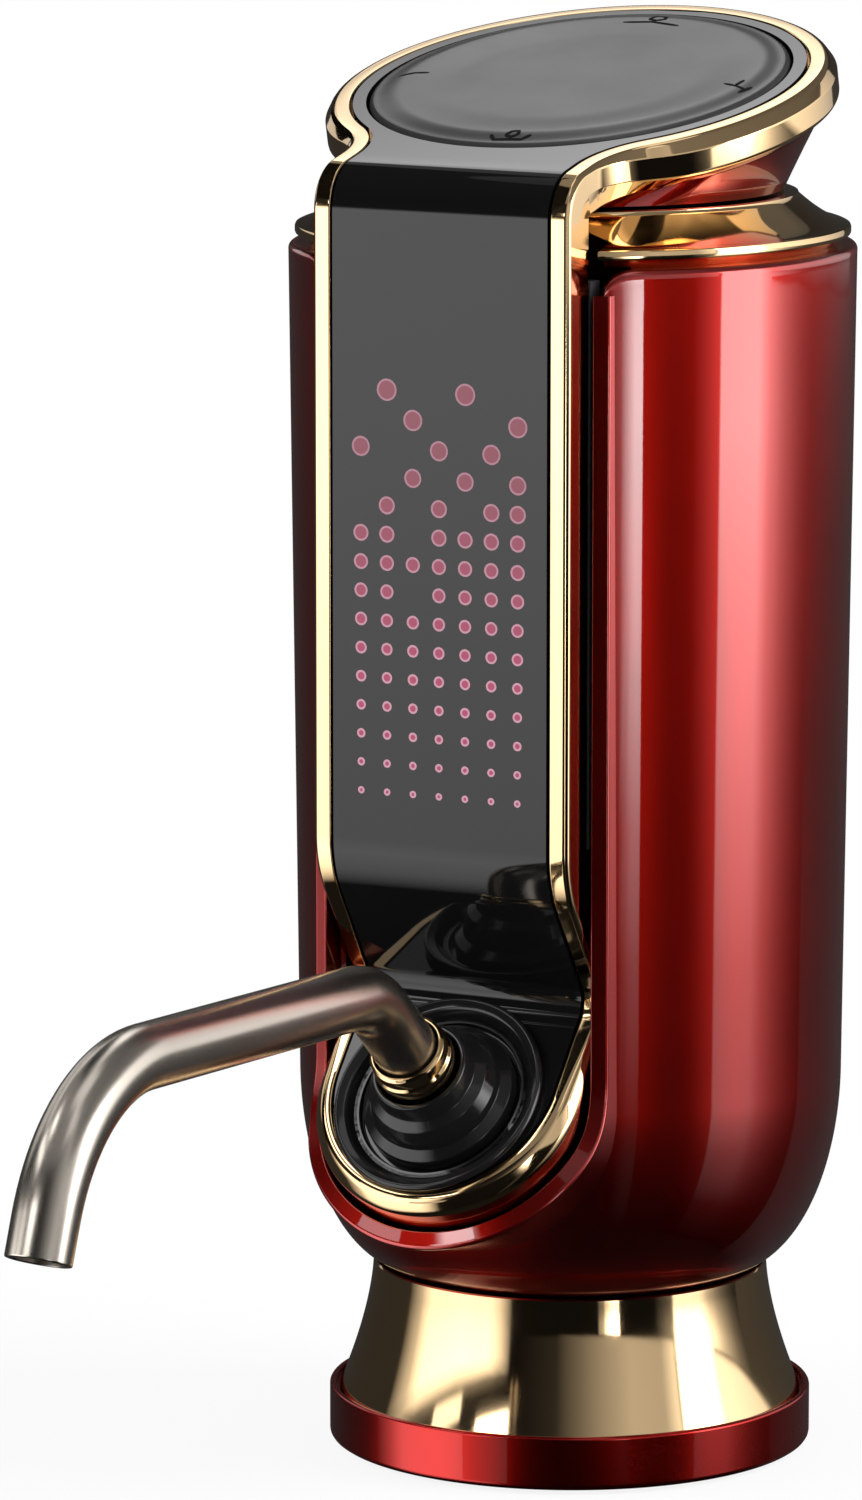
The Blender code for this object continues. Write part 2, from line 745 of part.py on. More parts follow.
# The shell's raised frame follows a simpler profile, set back from the strip
FRAME_FACE_Y = STRIP_FACE_Y + FRAME_SETBACK
FRAME_TOP_Z = SHELL_TOP - SHELL_TOP_BEVEL
FRAME_CENTRE = CHIN_CENTRE - CHIN_OUT * FRAME_SETBACK
FRAME_CORNER_Z = FRAME_CENTRE.z - (FRAME_CENTRE.y - FRAME_FACE_Y) * tan(CHIN_TILT)
FRAME_END = FRAME_CENTRE - CHIN_BACK * (FRAME_HALF_WIDTH + OVERRUN)
FRAME = SideProfile(
    [(FRAME_FACE_Y, FRAME_TOP_Z), (FRAME_FACE_Y, FRAME_CORNER_Z), (FRAME_END.y, FRAME_END.z)],
    [FRAME_BLEND_RADIUS],
)
FRAME_CHIN_W = FRAME.knots[-1] - FRAME_HALF_WIDTH - OVERRUN


def shell_radius(z):
    """Outer radius of the body: a slight taper over a rounded bottom."""
    if z >= SHELL_WAIST_Z:
        share = (z - SHELL_WAIST_Z) / (SHELL_TOP - SHELL_WAIST_Z)
        return SHELL_WAIST_RADIUS + (SHELL_TOP_RADIUS - SHELL_WAIST_RADIUS) * share
    drop = (SHELL_WAIST_Z - z) / SHELL_ROUND_HEIGHT
    return SHELL_WAIST_RADIUS - SHELL_ROUND_WIDTH * (1.0 - sqrt(max(0.0, 1.0 - drop * drop)))


def skirt_radius(z):
    """Outer radius of the flared foot."""
    low = BASE_SEAT_Z + GAP
    high = SHELL_BOTTOM - GAP
    share = (high - z) / (high - low)
    return SKIRT_TOP_RADIUS + (SKIRT_BOTTOM_RADIUS - SKIRT_TOP_RADIUS) * share**SKIRT_FLARE_POWER


def keyhole_stations(head_steps=15, blend_steps=4, chin_steps=7):
    """Half the trim's outline, from behind the head to the chin: (x, walked, outward x, outward walk)."""
    far = sqrt((HEAD_RADIUS + HEAD_BLEND_RADIUS) ** 2 - (STRIP_HALF_WIDTH + HEAD_BLEND_RADIUS) ** 2)
    join_angle = atan2(STRIP_HALF_WIDTH + HEAD_BLEND_RADIUS, far)
    stations = []
    for i in range(head_steps + 1):
        angle = pi - (pi - join_angle) * i / head_steps
        out = (sin(angle), cos(angle))
        stations.append((HEAD_RADIUS * out[0], HEAD_W + HEAD_RADIUS * out[1], *out))
    for i in range(1, blend_steps + 1):
        angle = join_angle + (pi / 2.0 - join_angle) * i / blend_steps
        out = (sin(angle), cos(angle))
        x = STRIP_HALF_WIDTH + HEAD_BLEND_RADIUS * (1.0 - out[0])
        stations.append((x, HEAD_W + far - HEAD_BLEND_RADIUS * out[1], *out))
    for bend, steps in ((FOLD_BEND, 5), (BROW_BEND, 3), (WAIST_BEND, 3)):
        stations += [(STRIP_HALF_WIDTH, w, 1.0, 0.0) for w in STRIP.bend_stations(bend, steps)]
    for i in range(chin_steps + 1):
        angle = pi / 2.0 * (1.0 - i / chin_steps)
        out = (sin(angle), cos(angle))
        stations.append((STRIP_HALF_WIDTH * out[0], CHIN_W + STRIP_HALF_WIDTH * out[1], *out))
    return stations


def ease(share):
    share = max(0.0, min(1.0, share))
    return share * share * (3.0 - 2.0 * share)


def trim_section(walked):
    """The trim's section as (offset from the outline, depth under the face), which changes along its way."""
    fold = STRIP.knots[FOLD_BEND]
    strip = ease((walked - HEAD_W - STRIP_HALF_WIDTH) / (fold - HEAD_W - STRIP_HALF_WIDTH))
    chin = ease((walked - STRIP.knots[WAIST_BEND + 1]) / (CHIN_W - STRIP.knots[WAIST_BEND + 1]))
    bulge = TRIM_HEAD_BULGE + (TRIM_STRIP_BULGE - TRIM_HEAD_BULGE) * strip
    bulge += (TRIM_CHIN_BULGE - TRIM_STRIP_BULGE) * chin
    chamfer = TRIM_HEAD_CHAMFER + (TRIM_STRIP_CHAMFER - TRIM_HEAD_CHAMFER) * strip
    chamfer += (TRIM_CHIN_CHAMFER - TRIM_STRIP_CHAMFER) * chin
    depth = TRIM_HEAD_DEPTH + (TRIM_STRIP_DEPTH - TRIM_HEAD_DEPTH) * strip
    under = -TRIM_HEAD_UNDERCUT + (TRIM_STRIP_BULGE + TRIM_HEAD_UNDERCUT) * strip
    under += (TRIM_CHIN_BULGE - TRIM_STRIP_BULGE) * chin
    inner = -TRIM_FACE_WIDTH
    ledge = inner - TRIM_LEDGE_WIDTH
    return [
        (inner, 0.0),
        (-TRIM_STRIP_BULGE * strip, 0.0),
        (bulge, chamfer),
        (bulge, max(TRIM_HEAD_SIDE, chamfer + OVERRUN)),
        (under, depth),
        (ledge, depth),
        (ledge, PANEL_THICKNESS + GAP),
        (inner, PANEL_THICKNESS + GAP),
    ]


def trim_ring(station, mirror):
    x, walked, out_x, out_w = station
    point, along, out = STRIP.at(walked)
    ring_points = []
    for offset, depth in trim_section(walked):
        p = point + along * (out_w * offset) - out * depth
        ring_points.append(Vector((mirror * (x + out_x * offset), p.y, p.z)))
    return ring_points


def make_trim(material):
    half = keyhole_stations()
    rings = [trim_ring(s, 1.0) for s in half]
    rings += [trim_ring(s, -1.0) for s in reversed(half[1:-1])]
    return swept("trim_frame", rings, material, closed=True)


def panel_half_widths():
    """The front panel's edge, as (walked, half width), inside the trim."""
    inset = TRIM_FACE_WIDTH + GAP
    edge = []
    for x, walked, out_x, out_w in keyhole_stations():
        x -= out_x * inset
        walked -= out_w * inset
        edge.append((walked, x))
    half_step = (edge[0][0] + edge[1][0]) / 2.0
    edge[0] = (half_step, edge[1][1] / 2.0)
    last = len(edge) - 1
    edge[last] = ((edge[last][0] + edge[last - 1][0]) / 2.0, edge[last - 1][1] / 2.0)
    return edge


def ladder(name, stations, material):
    """A solid from cross rows: each station gives a half width and the places of its rows, front to back."""
    rings = []
    for half, rows in stations:
        left = [Vector((-half, p.y, p.z)) for p in rows]
        right = [Vector((half, p.y, p.z)) for p in reversed(rows)]
        rings.append(left + right)
    return swept(name, rings, material)


def make_panel(material, head, hub):
    stations = []
    for walked, half in panel_half_widths():
        point, _, out = STRIP.at(walked)
        stations.append((half, [point, point - out * PANEL_THICKNESS]))
    panel = ladder("front_panel", stations, material)
    under = -PANEL_THICKNESS - OVERRUN
    pad_hole = turned("pad_hole", rod(PAD_RADIUS + PAD_RIM_GAP, under, OVERRUN), RING_FACETS, material, head)
    hub_hole = turned("hub_hole", rod(DISH_STEM_RADIUS + GAP, under, OVERRUN), HUB_FACETS, material, hub)
    cut(panel, pad_hole, hub_hole)
    return panel


def frame_outline(half_width, steps=8):
    """Half of a U on the frame's profile: (x, walked, outward x, outward walk, chin share)."""
    outline = [(half_width, 0.0, 1.0, 0.0, 0.0)]
    outline += [(half_width, w, 1.0, 0.0, 0.0) for w in FRAME.bend_stations(1, 6) if w < FRAME_CHIN_W - GAP]
    for i in range(steps + 1):
        angle = pi / 2.0 * (1.0 - i / steps)
        out = (sin(angle), cos(angle))
        outline.append((half_width * out[0], FRAME_CHIN_W + half_width * out[1], *out, cos(angle)))
    return outline


def frame_root(chin_share):
    """From the frame's face back into the body."""
    back = FRAME_ROOT_DEPTH + (FRAME_CHIN_ROOT_DEPTH - FRAME_ROOT_DEPTH) * chin_share
    return Vector((0.0, back, -FRAME_CHIN_ROOT_DROP * chin_share))


def make_shell(material):
    heights = [SHELL_BOTTOM]
    steps = 6
    for i in range(1, steps + 1):
        heights.append(SHELL_BOTTOM + (SHELL_WAIST_Z - SHELL_BOTTOM) * sin(pi / 2.0 * i / steps))
    outer = [(shell_radius(z), z) for z in heights]
    outer.append((SHELL_TOP_RADIUS, SHELL_TOP - SHELL_TOP_BEVEL))
    outer.append((SHELL_TOP_RADIUS - SHELL_TOP_BEVEL, SHELL_TOP))
    inner = [(SHELL_TOP_RADIUS - SHELL_WALL, SHELL_TOP)]
    floor = SHELL_BOTTOM + SHELL_FLOOR
    for z in reversed(heights[2:]):
        inner.append((shell_radius(z) - SHELL_WALL, z))
    inner.append((shell_radius(floor) - SHELL_WALL, floor))
    inner.append((SHELL_BORE_RADIUS, floor))
    profile = outer + inner + [(SHELL_BORE_RADIUS, SHELL_BOTTOM)]
    shell = turned("body_shell", profile, BODY_FACETS, material)

    rings = []
    inner_half = SLOT_HALF_WIDTH - FRAME_SPARE
    half = frame_outline(FRAME_HALF_WIDTH)
    for mirror, stations in ((1.0, half), (-1.0, list(reversed(half[:-1])))):
        for x, walked, out_x, out_w, chin in stations:
            point, along, out = FRAME.at(walked)
            root = frame_root(chin)
            ring_points = []
            for offset, depth, deep in (
                (0.0, FRAME_EDGE_BEVEL, 0.0),
                (-FRAME_EDGE_BEVEL, 0.0, 0.0),
                (inner_half - FRAME_HALF_WIDTH, 0.0, 0.0),
                (inner_half - FRAME_HALF_WIDTH, 0.0, 1.0),
                (0.0, 0.0, 1.0),
            ):
                p = point + along * (out_w * offset) - out * depth + root * deep
                ring_points.append(Vector((mirror * (x + out_x * offset), p.y, p.z)))
            rings.append(ring_points)
    frame_bar = swept("frame_bar", rings, material)

    stations = []
    edge = frame_outline(SLOT_HALF_WIDTH)
    edge[0] = (SLOT_HALF_WIDTH, -OVERRUN, 1.0, 0.0, 0.0)
    last = edge[-1]
    before = edge[-2]
    edge[-1] = (before[0] / 2.0, (last[1] + before[1]) / 2.0, 0.0, 1.0, 1.0)
    for x, walked, _, _, chin in edge:
        point, _, out = FRAME.at(walked)
        stations.append((x, [point + out * SLOT_CUT_REACH, point, point + frame_root(chin) * SLOT_DEPTH_SHARE]))
    slot = ladder("slot_cutter", stations, material)
    holes = turned_set(
        "foot_screw_holes",
        rod(SCREW_RADIUS + GAP, SHELL_BOTTOM - OVERRUN, floor + OVERRUN),
        SCREW_FACETS,
        circle_places(FOOT_SCREW_CIRCLE, 3, 0.0, pi / 2.0),
        material,
    )
    half = PORT_BEZEL_HALF_WIDTH + GAP
    rise = PORT_BEZEL_HEIGHT / 2.0 + GAP
    port = block(
        "port_hole",
        (-half, PORT_BEZEL_FRONT_Y - OVERRUN, PORT_Z - rise),
        (half, SHELL_TOP_RADIUS + OVERRUN, PORT_Z + rise),
        material,
    )
    join(shell, frame_bar, solver="MANIFOLD")
    cut(shell, slot, holes, port, solver="MANIFOLD")
    return shell


def make_collar(material):
    edge_top = COLLAR_EDGE_Z + COLLAR_EDGE_HEIGHT
    flare = []
    steps = 4
    for i in range(1, steps + 1):
        share = i / steps
        radius = COLLAR_EDGE_RADIUS + (COLLAR_TOP_RADIUS - COLLAR_EDGE_RADIUS) * share
        flare.append((radius, edge_top + (COLLAR_TOP_Z - edge_top) * share**COLLAR_FLARE_POWER))
    skirt = SHELL_TOP_RADIUS - SHELL_WALL - GAP
    seat = SHELL_TOP + GAP
    deck = COLLAR_TOP_Z - COLLAR_DECK
    profile = [(COLLAR_EDGE_RADIUS, COLLAR_EDGE_Z), (COLLAR_EDGE_RADIUS, edge_top)] + flare
    profile += [
        (COLLAR_BORE_RADIUS, COLLAR_TOP_Z),
        (COLLAR_BORE_RADIUS, deck),
        (skirt - COLLAR_SKIRT_WALL * 2.0, deck),
        (skirt - COLLAR_SKIRT_WALL, deck - COLLAR_SKIRT_WALL),
        (skirt - COLLAR_SKIRT_WALL, SHELL_TOP - COLLAR_SKIRT_DEPTH),
        (skirt, SHELL_TOP - COLLAR_SKIRT_DEPTH),
        (skirt, seat),
        (COLLAR_GROOVE_RADIUS, seat),
        (COLLAR_GROOVE_RADIUS, COLLAR_EDGE_Z),
    ]
    collar = turned("neck_collar", profile, BODY_FACETS, material)
    notch_back = STRIP_FACE_Y + TRIM_STRIP_DEPTH + PANEL_CARRIER_THICKNESS + GAP * 4.0
    notch = block(
        "collar_notch",
        (-SLOT_HALF_WIDTH, -COLLAR_EDGE_RADIUS - OVERRUN, SHELL_TOP - COLLAR_SKIRT_DEPTH - OVERRUN),
        (SLOT_HALF_WIDTH, notch_back, COLLAR_TOP_Z + OVERRUN),
        material,
    )
    skirt_notch = block(
        "collar_skirt_notch",
        (-FRAME_HALF_WIDTH - GAP, -COLLAR_EDGE_RADIUS, SHELL_TOP - COLLAR_SKIRT_DEPTH - OVERRUN),
        (FRAME_HALF_WIDTH + GAP, FRAME_FACE_Y + FRAME_ROOT_DEPTH + GAP, seat - GAP / 2.0),
        material,
    )
    holes = turned_set(
        "neck_screw_holes",
        rod(SMALL_SCREW_RADIUS + GAP, deck - OVERRUN, COLLAR_TOP_Z + OVERRUN),
        SCREW_FACETS,
        circle_places(NECK_SCREW_CIRCLE, 4, 0.0, pi / 4.0),
        material,
    )
    cut(collar, notch, skirt_notch, holes, solver="MANIFOLD")
    return collar


def neck_ring(inset):
    """Lower and upper points of the neck wall at each angle, inset from its outside."""
    low = []
    high = []
    seam = COLLAR_TOP_Z + GAP
    plane = HEAD_CENTRE - HEAD_UP * (TRIM_HEAD_DEPTH + GAP)
    head_out = HEAD_RADIUS - NECK_HEAD_INSET
    for i in range(RING_FACETS):
        angle = 2.0 * pi * (i + 0.5) / RING_FACETS
        across = Vector((cos(angle), sin(angle), 0.0))
        height = plane.z + HEAD_BACK.z * across.y * head_out - seam
        flare = max(0.0, min(1.0, height / NECK_FULL_FLARE_HEIGHT))
        radius = NECK_RADIUS + (head_out - NECK_RADIUS) * flare - inset
        top = plane + Vector((across.x * radius, 0.0, 0.0)) + HEAD_BACK * (across.y * radius)
        base = Vector((across.x, across.y, 0.0)) * (NECK_RADIUS - inset)
        low.append(Vector((base.x, base.y, seam)))
        high.append(Vector((top.x, top.y, max(top.z, seam + NECK_LEAST_HEIGHT))))
    return low, high


def make_neck(material):
    low_out, high_out = neck_ring(0.0)
    low_in, high_in = neck_ring(NECK_WALL)
    rings = [list(four) for four in zip(low_out, high_out, high_in, low_in)]
    neck = swept("neck_cone", rings, material, closed=True)
    holes = turned_set(
        "neck_pilot_holes",
        rod(SMALL_SCREW_RADIUS + GAP, COLLAR_TOP_Z - OVERRUN, COLLAR_TOP_Z + OVERRUN * 2.0),
        SCREW_FACETS,
        circle_places(NECK_SCREW_CIRCLE, 4, 0.0, pi / 4.0)[:2],
        material,
    )
    cut(neck, holes)
    return neck


def make_foot(red, gold, dark, rubber, steel):
    seat = BASE_SEAT_Z
    pad_top = PAD_HEIGHT + GAP
    base = turned(
        "base_ring",
        [
            (SOCKET_RADIUS, BASE_RING_LIFT),
            (PAD_INNER_RADIUS - GAP, BASE_RING_LIFT),
            (PAD_INNER_RADIUS - GAP, pad_top),
            (PAD_OUTER_RADIUS + GAP, pad_top),
            (PAD_OUTER_RADIUS + GAP, BASE_RING_LIFT),
            (BASE_RADIUS - BASE_BEVEL, BASE_RING_LIFT),
            (BASE_RADIUS, BASE_RING_LIFT + BASE_BEVEL),
            (BASE_RADIUS, BASE_RING_TOP - BASE_BEVEL),
            (BASE_RADIUS - BASE_BEVEL / 2.0, BASE_RING_TOP),
            (BASE_LIP_RADIUS, BASE_RING_TOP),
            (BASE_LIP_RADIUS, seat),
            (SOCKET_RADIUS, seat),
        ],
        BODY_FACETS,
        red,
    )
    turned("foot_pad", ring(PAD_INNER_RADIUS, PAD_OUTER_RADIUS, 0.0, PAD_HEIGHT), RING_FACETS, rubber)

    low = seat + GAP
    high = SHELL_BOTTOM - GAP
    flange_low = high - SKIRT_FLANGE
    steps = 4
    heights = [low + (high - low) * i / steps for i in range(steps + 1)]
    outer = [(skirt_radius(z), z) for z in heights]
    inner = [(skirt_radius(z) - SKIRT_WALL, z) for z in reversed(heights[:-1])]
    profile = outer + [(SKIRT_FLANGE_BORE, high), (SKIRT_FLANGE_BORE, flange_low)]
    profile += [(skirt_radius(flange_low) - SKIRT_WALL, flange_low)] + inner
    turned("foot_skirt", profile, BODY_FACETS, gold)

    shoulder = flange_low - GAP
    core_heights = [shoulder, (shoulder + low) / 2.0, low]
    core = turned(
        "foot_core",
        [(INLET_RADIUS + GAP, high), (SKIRT_FLANGE_BORE - GAP, high), (SKIRT_FLANGE_BORE - GAP, shoulder)]
        + [(skirt_radius(z) - SKIRT_WALL - GAP * 2.0, z) for z in core_heights]
        + [(SOCKET_RADIUS, low), (SOCKET_RADIUS, SOCKET_ROOF_Z), (INLET_RADIUS + GAP, SOCKET_ROOF_Z)],
        RING_FACETS,
        dark,
    )
    head_room = SOCKET_ROOF_Z + SCREW_HEAD_HEIGHT + GAP * 2.0
    foot_places = circle_places(FOOT_SCREW_CIRCLE, 3, 0.0, pi / 2.0)
    base_places = circle_places(BASE_SCREW_CIRCLE, 3, 0.0, -pi / 2.0)
    sunk = turned_set(
        "foot_screw_recess",
        [
            (0.0, SOCKET_ROOF_Z - OVERRUN),
            (SCREW_HEAD_RADIUS + GAP, SOCKET_ROOF_Z - OVERRUN),
            (SCREW_HEAD_RADIUS + GAP, head_room),
            (SCREW_RADIUS + GAP, head_room),
            (SCREW_RADIUS + GAP, high + OVERRUN),
            (0.0, high + OVERRUN),
        ],
        SCREW_FACETS,
        foot_places,
        dark,
    )
    base_seat = pad_top + GAP + SCREW_HEAD_HEIGHT
    base_sunk = turned_set(
        "base_screw_recess",
        [
            (0.0, pad_top - OVERRUN),
            (SCREW_HEAD_RADIUS + GAP, pad_top - OVERRUN),
            (SCREW_HEAD_RADIUS + GAP, base_seat + GAP),
            (SCREW_RADIUS + GAP, base_seat + GAP),
            (SCREW_RADIUS + GAP, low + BASE_SCREW_DEPTH),
            (0.0, low + BASE_SCREW_DEPTH),
        ],
        SCREW_FACETS,
        base_places,
        dark,
    )
    vent_room = rod(VENT_RADIUS + GAP, STOPPER_BOTTOM_Z - OVERRUN, high + OVERRUN)
    vent_hole = turned("vent_hole", vent_room, SCREW_FACETS, dark, place=(VENT_X, 0.0, 0.0))
    cut(core, sunk, base_sunk, vent_hole)
    cut(base, base_sunk)
    foot_length = CHASSIS_FLOOR_Z - head_room
    screws(
        "foot_screw",
        screw(SCREW_RADIUS, SCREW_HEAD_RADIUS, SCREW_HEAD_HEIGHT, foot_length),
        [(x, y, head_room - GAP) for x, y, _ in foot_places],
        steel,
    )
    screws(
        "base_screw",
        screw(SCREW_RADIUS, SCREW_HEAD_RADIUS, SCREW_HEAD_HEIGHT, low + BASE_SCREW_DEPTH - base_seat - GAP),
        [(x, y, base_seat) for x, y, _ in base_places],
        steel,
    )

    stopper_top = SOCKET_ROOF_Z - GAP
    head_low = stopper_top - STOPPER_HEAD_HEIGHT
    fin_pitch = (head_low - STOPPER_BOTTOM_Z) / (STOPPER_FINS + 0.5)
    outline = [(STOPPER_BORE_RADIUS, STOPPER_BOTTOM_Z), (STOPPER_TIP_RADIUS, STOPPER_BOTTOM_Z)]
    for i in range(STOPPER_FINS):
        fin = STOPPER_BOTTOM_Z + fin_pitch * (i + 0.5)
        outline.append((STOPPER_RADIUS, fin))
        outline.append((STOPPER_FIN_RADIUS, fin + fin_pitch * STOPPER_FIN_SHARES[0]))
        outline.append((STOPPER_RADIUS, fin + fin_pitch * STOPPER_FIN_SHARES[1]))
    outline += [(STOPPER_RADIUS, stopper_top), (STOPPER_BORE_RADIUS, stopper_top)]
    stopper = turned("bottle_stopper", outline, HUB_FACETS, rubber)
    cut(stopper, vent_hole)
    turned(
        "bottle_gasket",
        ring(GASKET_INNER_RADIUS, GASKET_OUTER_RADIUS, stopper_top - GASKET_THICKNESS, stopper_top),
        HUB_FACETS,
        rubber,
    )
    turned(
        "inlet_nipple",
        [
            (INLET_BORE_RADIUS, INLET_BOTTOM_Z),
            (INLET_RADIUS, INLET_BOTTOM_Z),
            (INLET_RADIUS, SHELL_BOTTOM),
            (INLET_RADIUS + GAP * 4.0, SHELL_BOTTOM),
            (INLET_RADIUS + GAP * 4.0, SHELL_BOTTOM + SHELL_FLOOR),
            (INLET_RADIUS - INLET_BARB, SHELL_BOTTOM + SHELL_FLOOR),
            (INLET_RADIUS, (INLET_TOP_Z + SHELL_BOTTOM + SHELL_FLOOR) / 2.0),
            (INLET_RADIUS - INLET_BARB, INLET_TOP_Z),
            (INLET_BORE_RADIUS, INLET_TOP_Z),
        ],
        SMALL_FACETS,
        steel,
    )
    vent = ring(VENT_BORE_RADIUS, VENT_RADIUS, STOPPER_BOTTOM_Z, VENT_TOP_Z)
    turned("vent_tube", vent, SCREW_FACETS, steel, place=(VENT_X, 0.0, 0.0))


def half_disc(radius, front_y, facets=28):
    """A round outline cut straight across at front_y."""
    start = atan2(front_y, sqrt(radius**2 - front_y**2))
    sweep = pi - 2.0 * start
    angles = [start + sweep * i / facets for i in range(facets + 1)]
    return [(radius * cos(a), radius * sin(a)) for a in angles]


def make_chassis(dark):
    top = CHASSIS_FLOOR_Z + CHASSIS_FLOOR_THICKNESS
    plate_top = CHASSIS_TOP_Z + TOP_PLATE_THICKNESS
    chassis = prism("chassis", half_disc(CHASSIS_RADIUS, CHASSIS_FRONT_Y), CHASSIS_FLOOR_Z, top, dark)
    overlap = CHASSIS_FLOOR_THICKNESS / 2.0
    legs = turned_set(
        "chassis_legs",
        rod(CHASSIS_LEG_RADIUS, SHELL_BOTTOM + SHELL_FLOOR + GAP, CHASSIS_FLOOR_Z + overlap),
        SMALL_FACETS,
        circle_places(FOOT_SCREW_CIRCLE, 3, 0.0, pi / 2.0),
        dark,
    )
    inner = RAIL_X - RAIL_WIDTH / 2.0
    outer = RAIL_X + RAIL_WIDTH / 2.0
    rails = block_set(
        "chassis_rails",
        [
            ((low_x, RAIL_FRONT_Y, CHASSIS_FLOOR_Z + overlap), (high_x, RAIL_BACK_Y, plate_top - overlap))
            for low_x, high_x in ((-outer, -inner), (inner, outer))
        ],
        dark,
    )
    shelf_outline = half_disc(CHASSIS_RADIUS - OVERRUN, RAIL_FRONT_Y)
    shelf = prism("chassis_shelf", shelf_outline, SHELF_Z, SHELF_Z + SHELF_THICKNESS, dark)
    carrier_back = STRIP_FACE_Y + TRIM_STRIP_DEPTH + GAP + PANEL_CARRIER_THICKNESS
    plate = prism("chassis_top", half_disc(CHASSIS_RADIUS, carrier_back + GAP), CHASSIS_TOP_Z, plate_top, dark)
    ring_out = BATTERY_RADIUS + GAP + CLIP_WALL
    clip_ring = ring(BATTERY_RADIUS + GAP, ring_out, CLIP_Z, CLIP_Z + CLIP_HEIGHT)
    clip = turned("chassis_clip", clip_ring, HUB_FACETS, dark, place=(0.0, BATTERY_Y, 0.0))
    arm_low = CLIP_Z + (CLIP_HEIGHT - CLIP_ARM_HEIGHT) / 2.0
    arm_y = RAIL_BACK_Y - CLIP_WALL * 2.0
    arm_back = RAIL_BACK_Y - CLIP_WALL / 2.0
    arm_high = arm_low + CLIP_ARM_HEIGHT
    arm_start = BATTERY_RADIUS * BATTERY_ARM_SHARE
    arms = block_set(
        "chassis_arms",
        [
            ((arm_start, arm_y, arm_low), (RAIL_X, arm_back, arm_high)),
            ((-RAIL_X, arm_y, arm_low), (-arm_start, arm_back, arm_high)),
        ],
        dark,
    )
    column_y = PORT_BEZEL_FRONT_Y - GAP - PORT_BOARD_LENGTH / 2.0
    post = rod(PORT_COLUMN_RADIUS, top - overlap, port_board_bottom() - GAP)
    column = turned("chassis_column", post, SMALL_FACETS, dark, place=(0.0, column_y, 0.0))
    cell = rod(BATTERY_RADIUS + GAP, CLIP_Z - OVERRUN, CLIP_Z + CLIP_HEIGHT + OVERRUN)
    battery_room = turned("battery_room", cell, HUB_FACETS, dark, place=(0.0, BATTERY_Y, 0.0))
    wires = rod(WIRE_HOLE_RADIUS, CHASSIS_TOP_Z - OVERRUN, plate_top + OVERRUN)
    wire_hole = turned("wire_hole", wires, SMALL_FACETS, dark, place=(0.0, WIRE_HOLE_Y, 0.0))
    leg_room = rod(SCREW_RADIUS + GAP, SHELL_BOTTOM, CHASSIS_FLOOR_Z + overlap)
    leg_holes = turned_set(
        "leg_holes", leg_room, SCREW_FACETS, circle_places(FOOT_SCREW_CIRCLE, 3, 0.0, pi / 2.0), dark
    )
    hose_slot = block(
        "hose_slot",
        (-HOSE_SLOT_HALF_WIDTH, CHASSIS_FRONT_Y - OVERRUN, CHASSIS_FLOOR_Z - OVERRUN),
        (HOSE_SLOT_HALF_WIDTH, HOSE_RADIUS + OVERRUN, top + OVERRUN),
        dark,
    )
    join(chassis, legs, rails, shelf, plate, clip, arms, column)
    cut(chassis, battery_room, wire_hole, leg_holes, hose_slot)
    return chassis


def port_board_bottom():
    return PORT_Z - PORT_HEIGHT / 2.0 - GAP - BOARD_THICKNESS


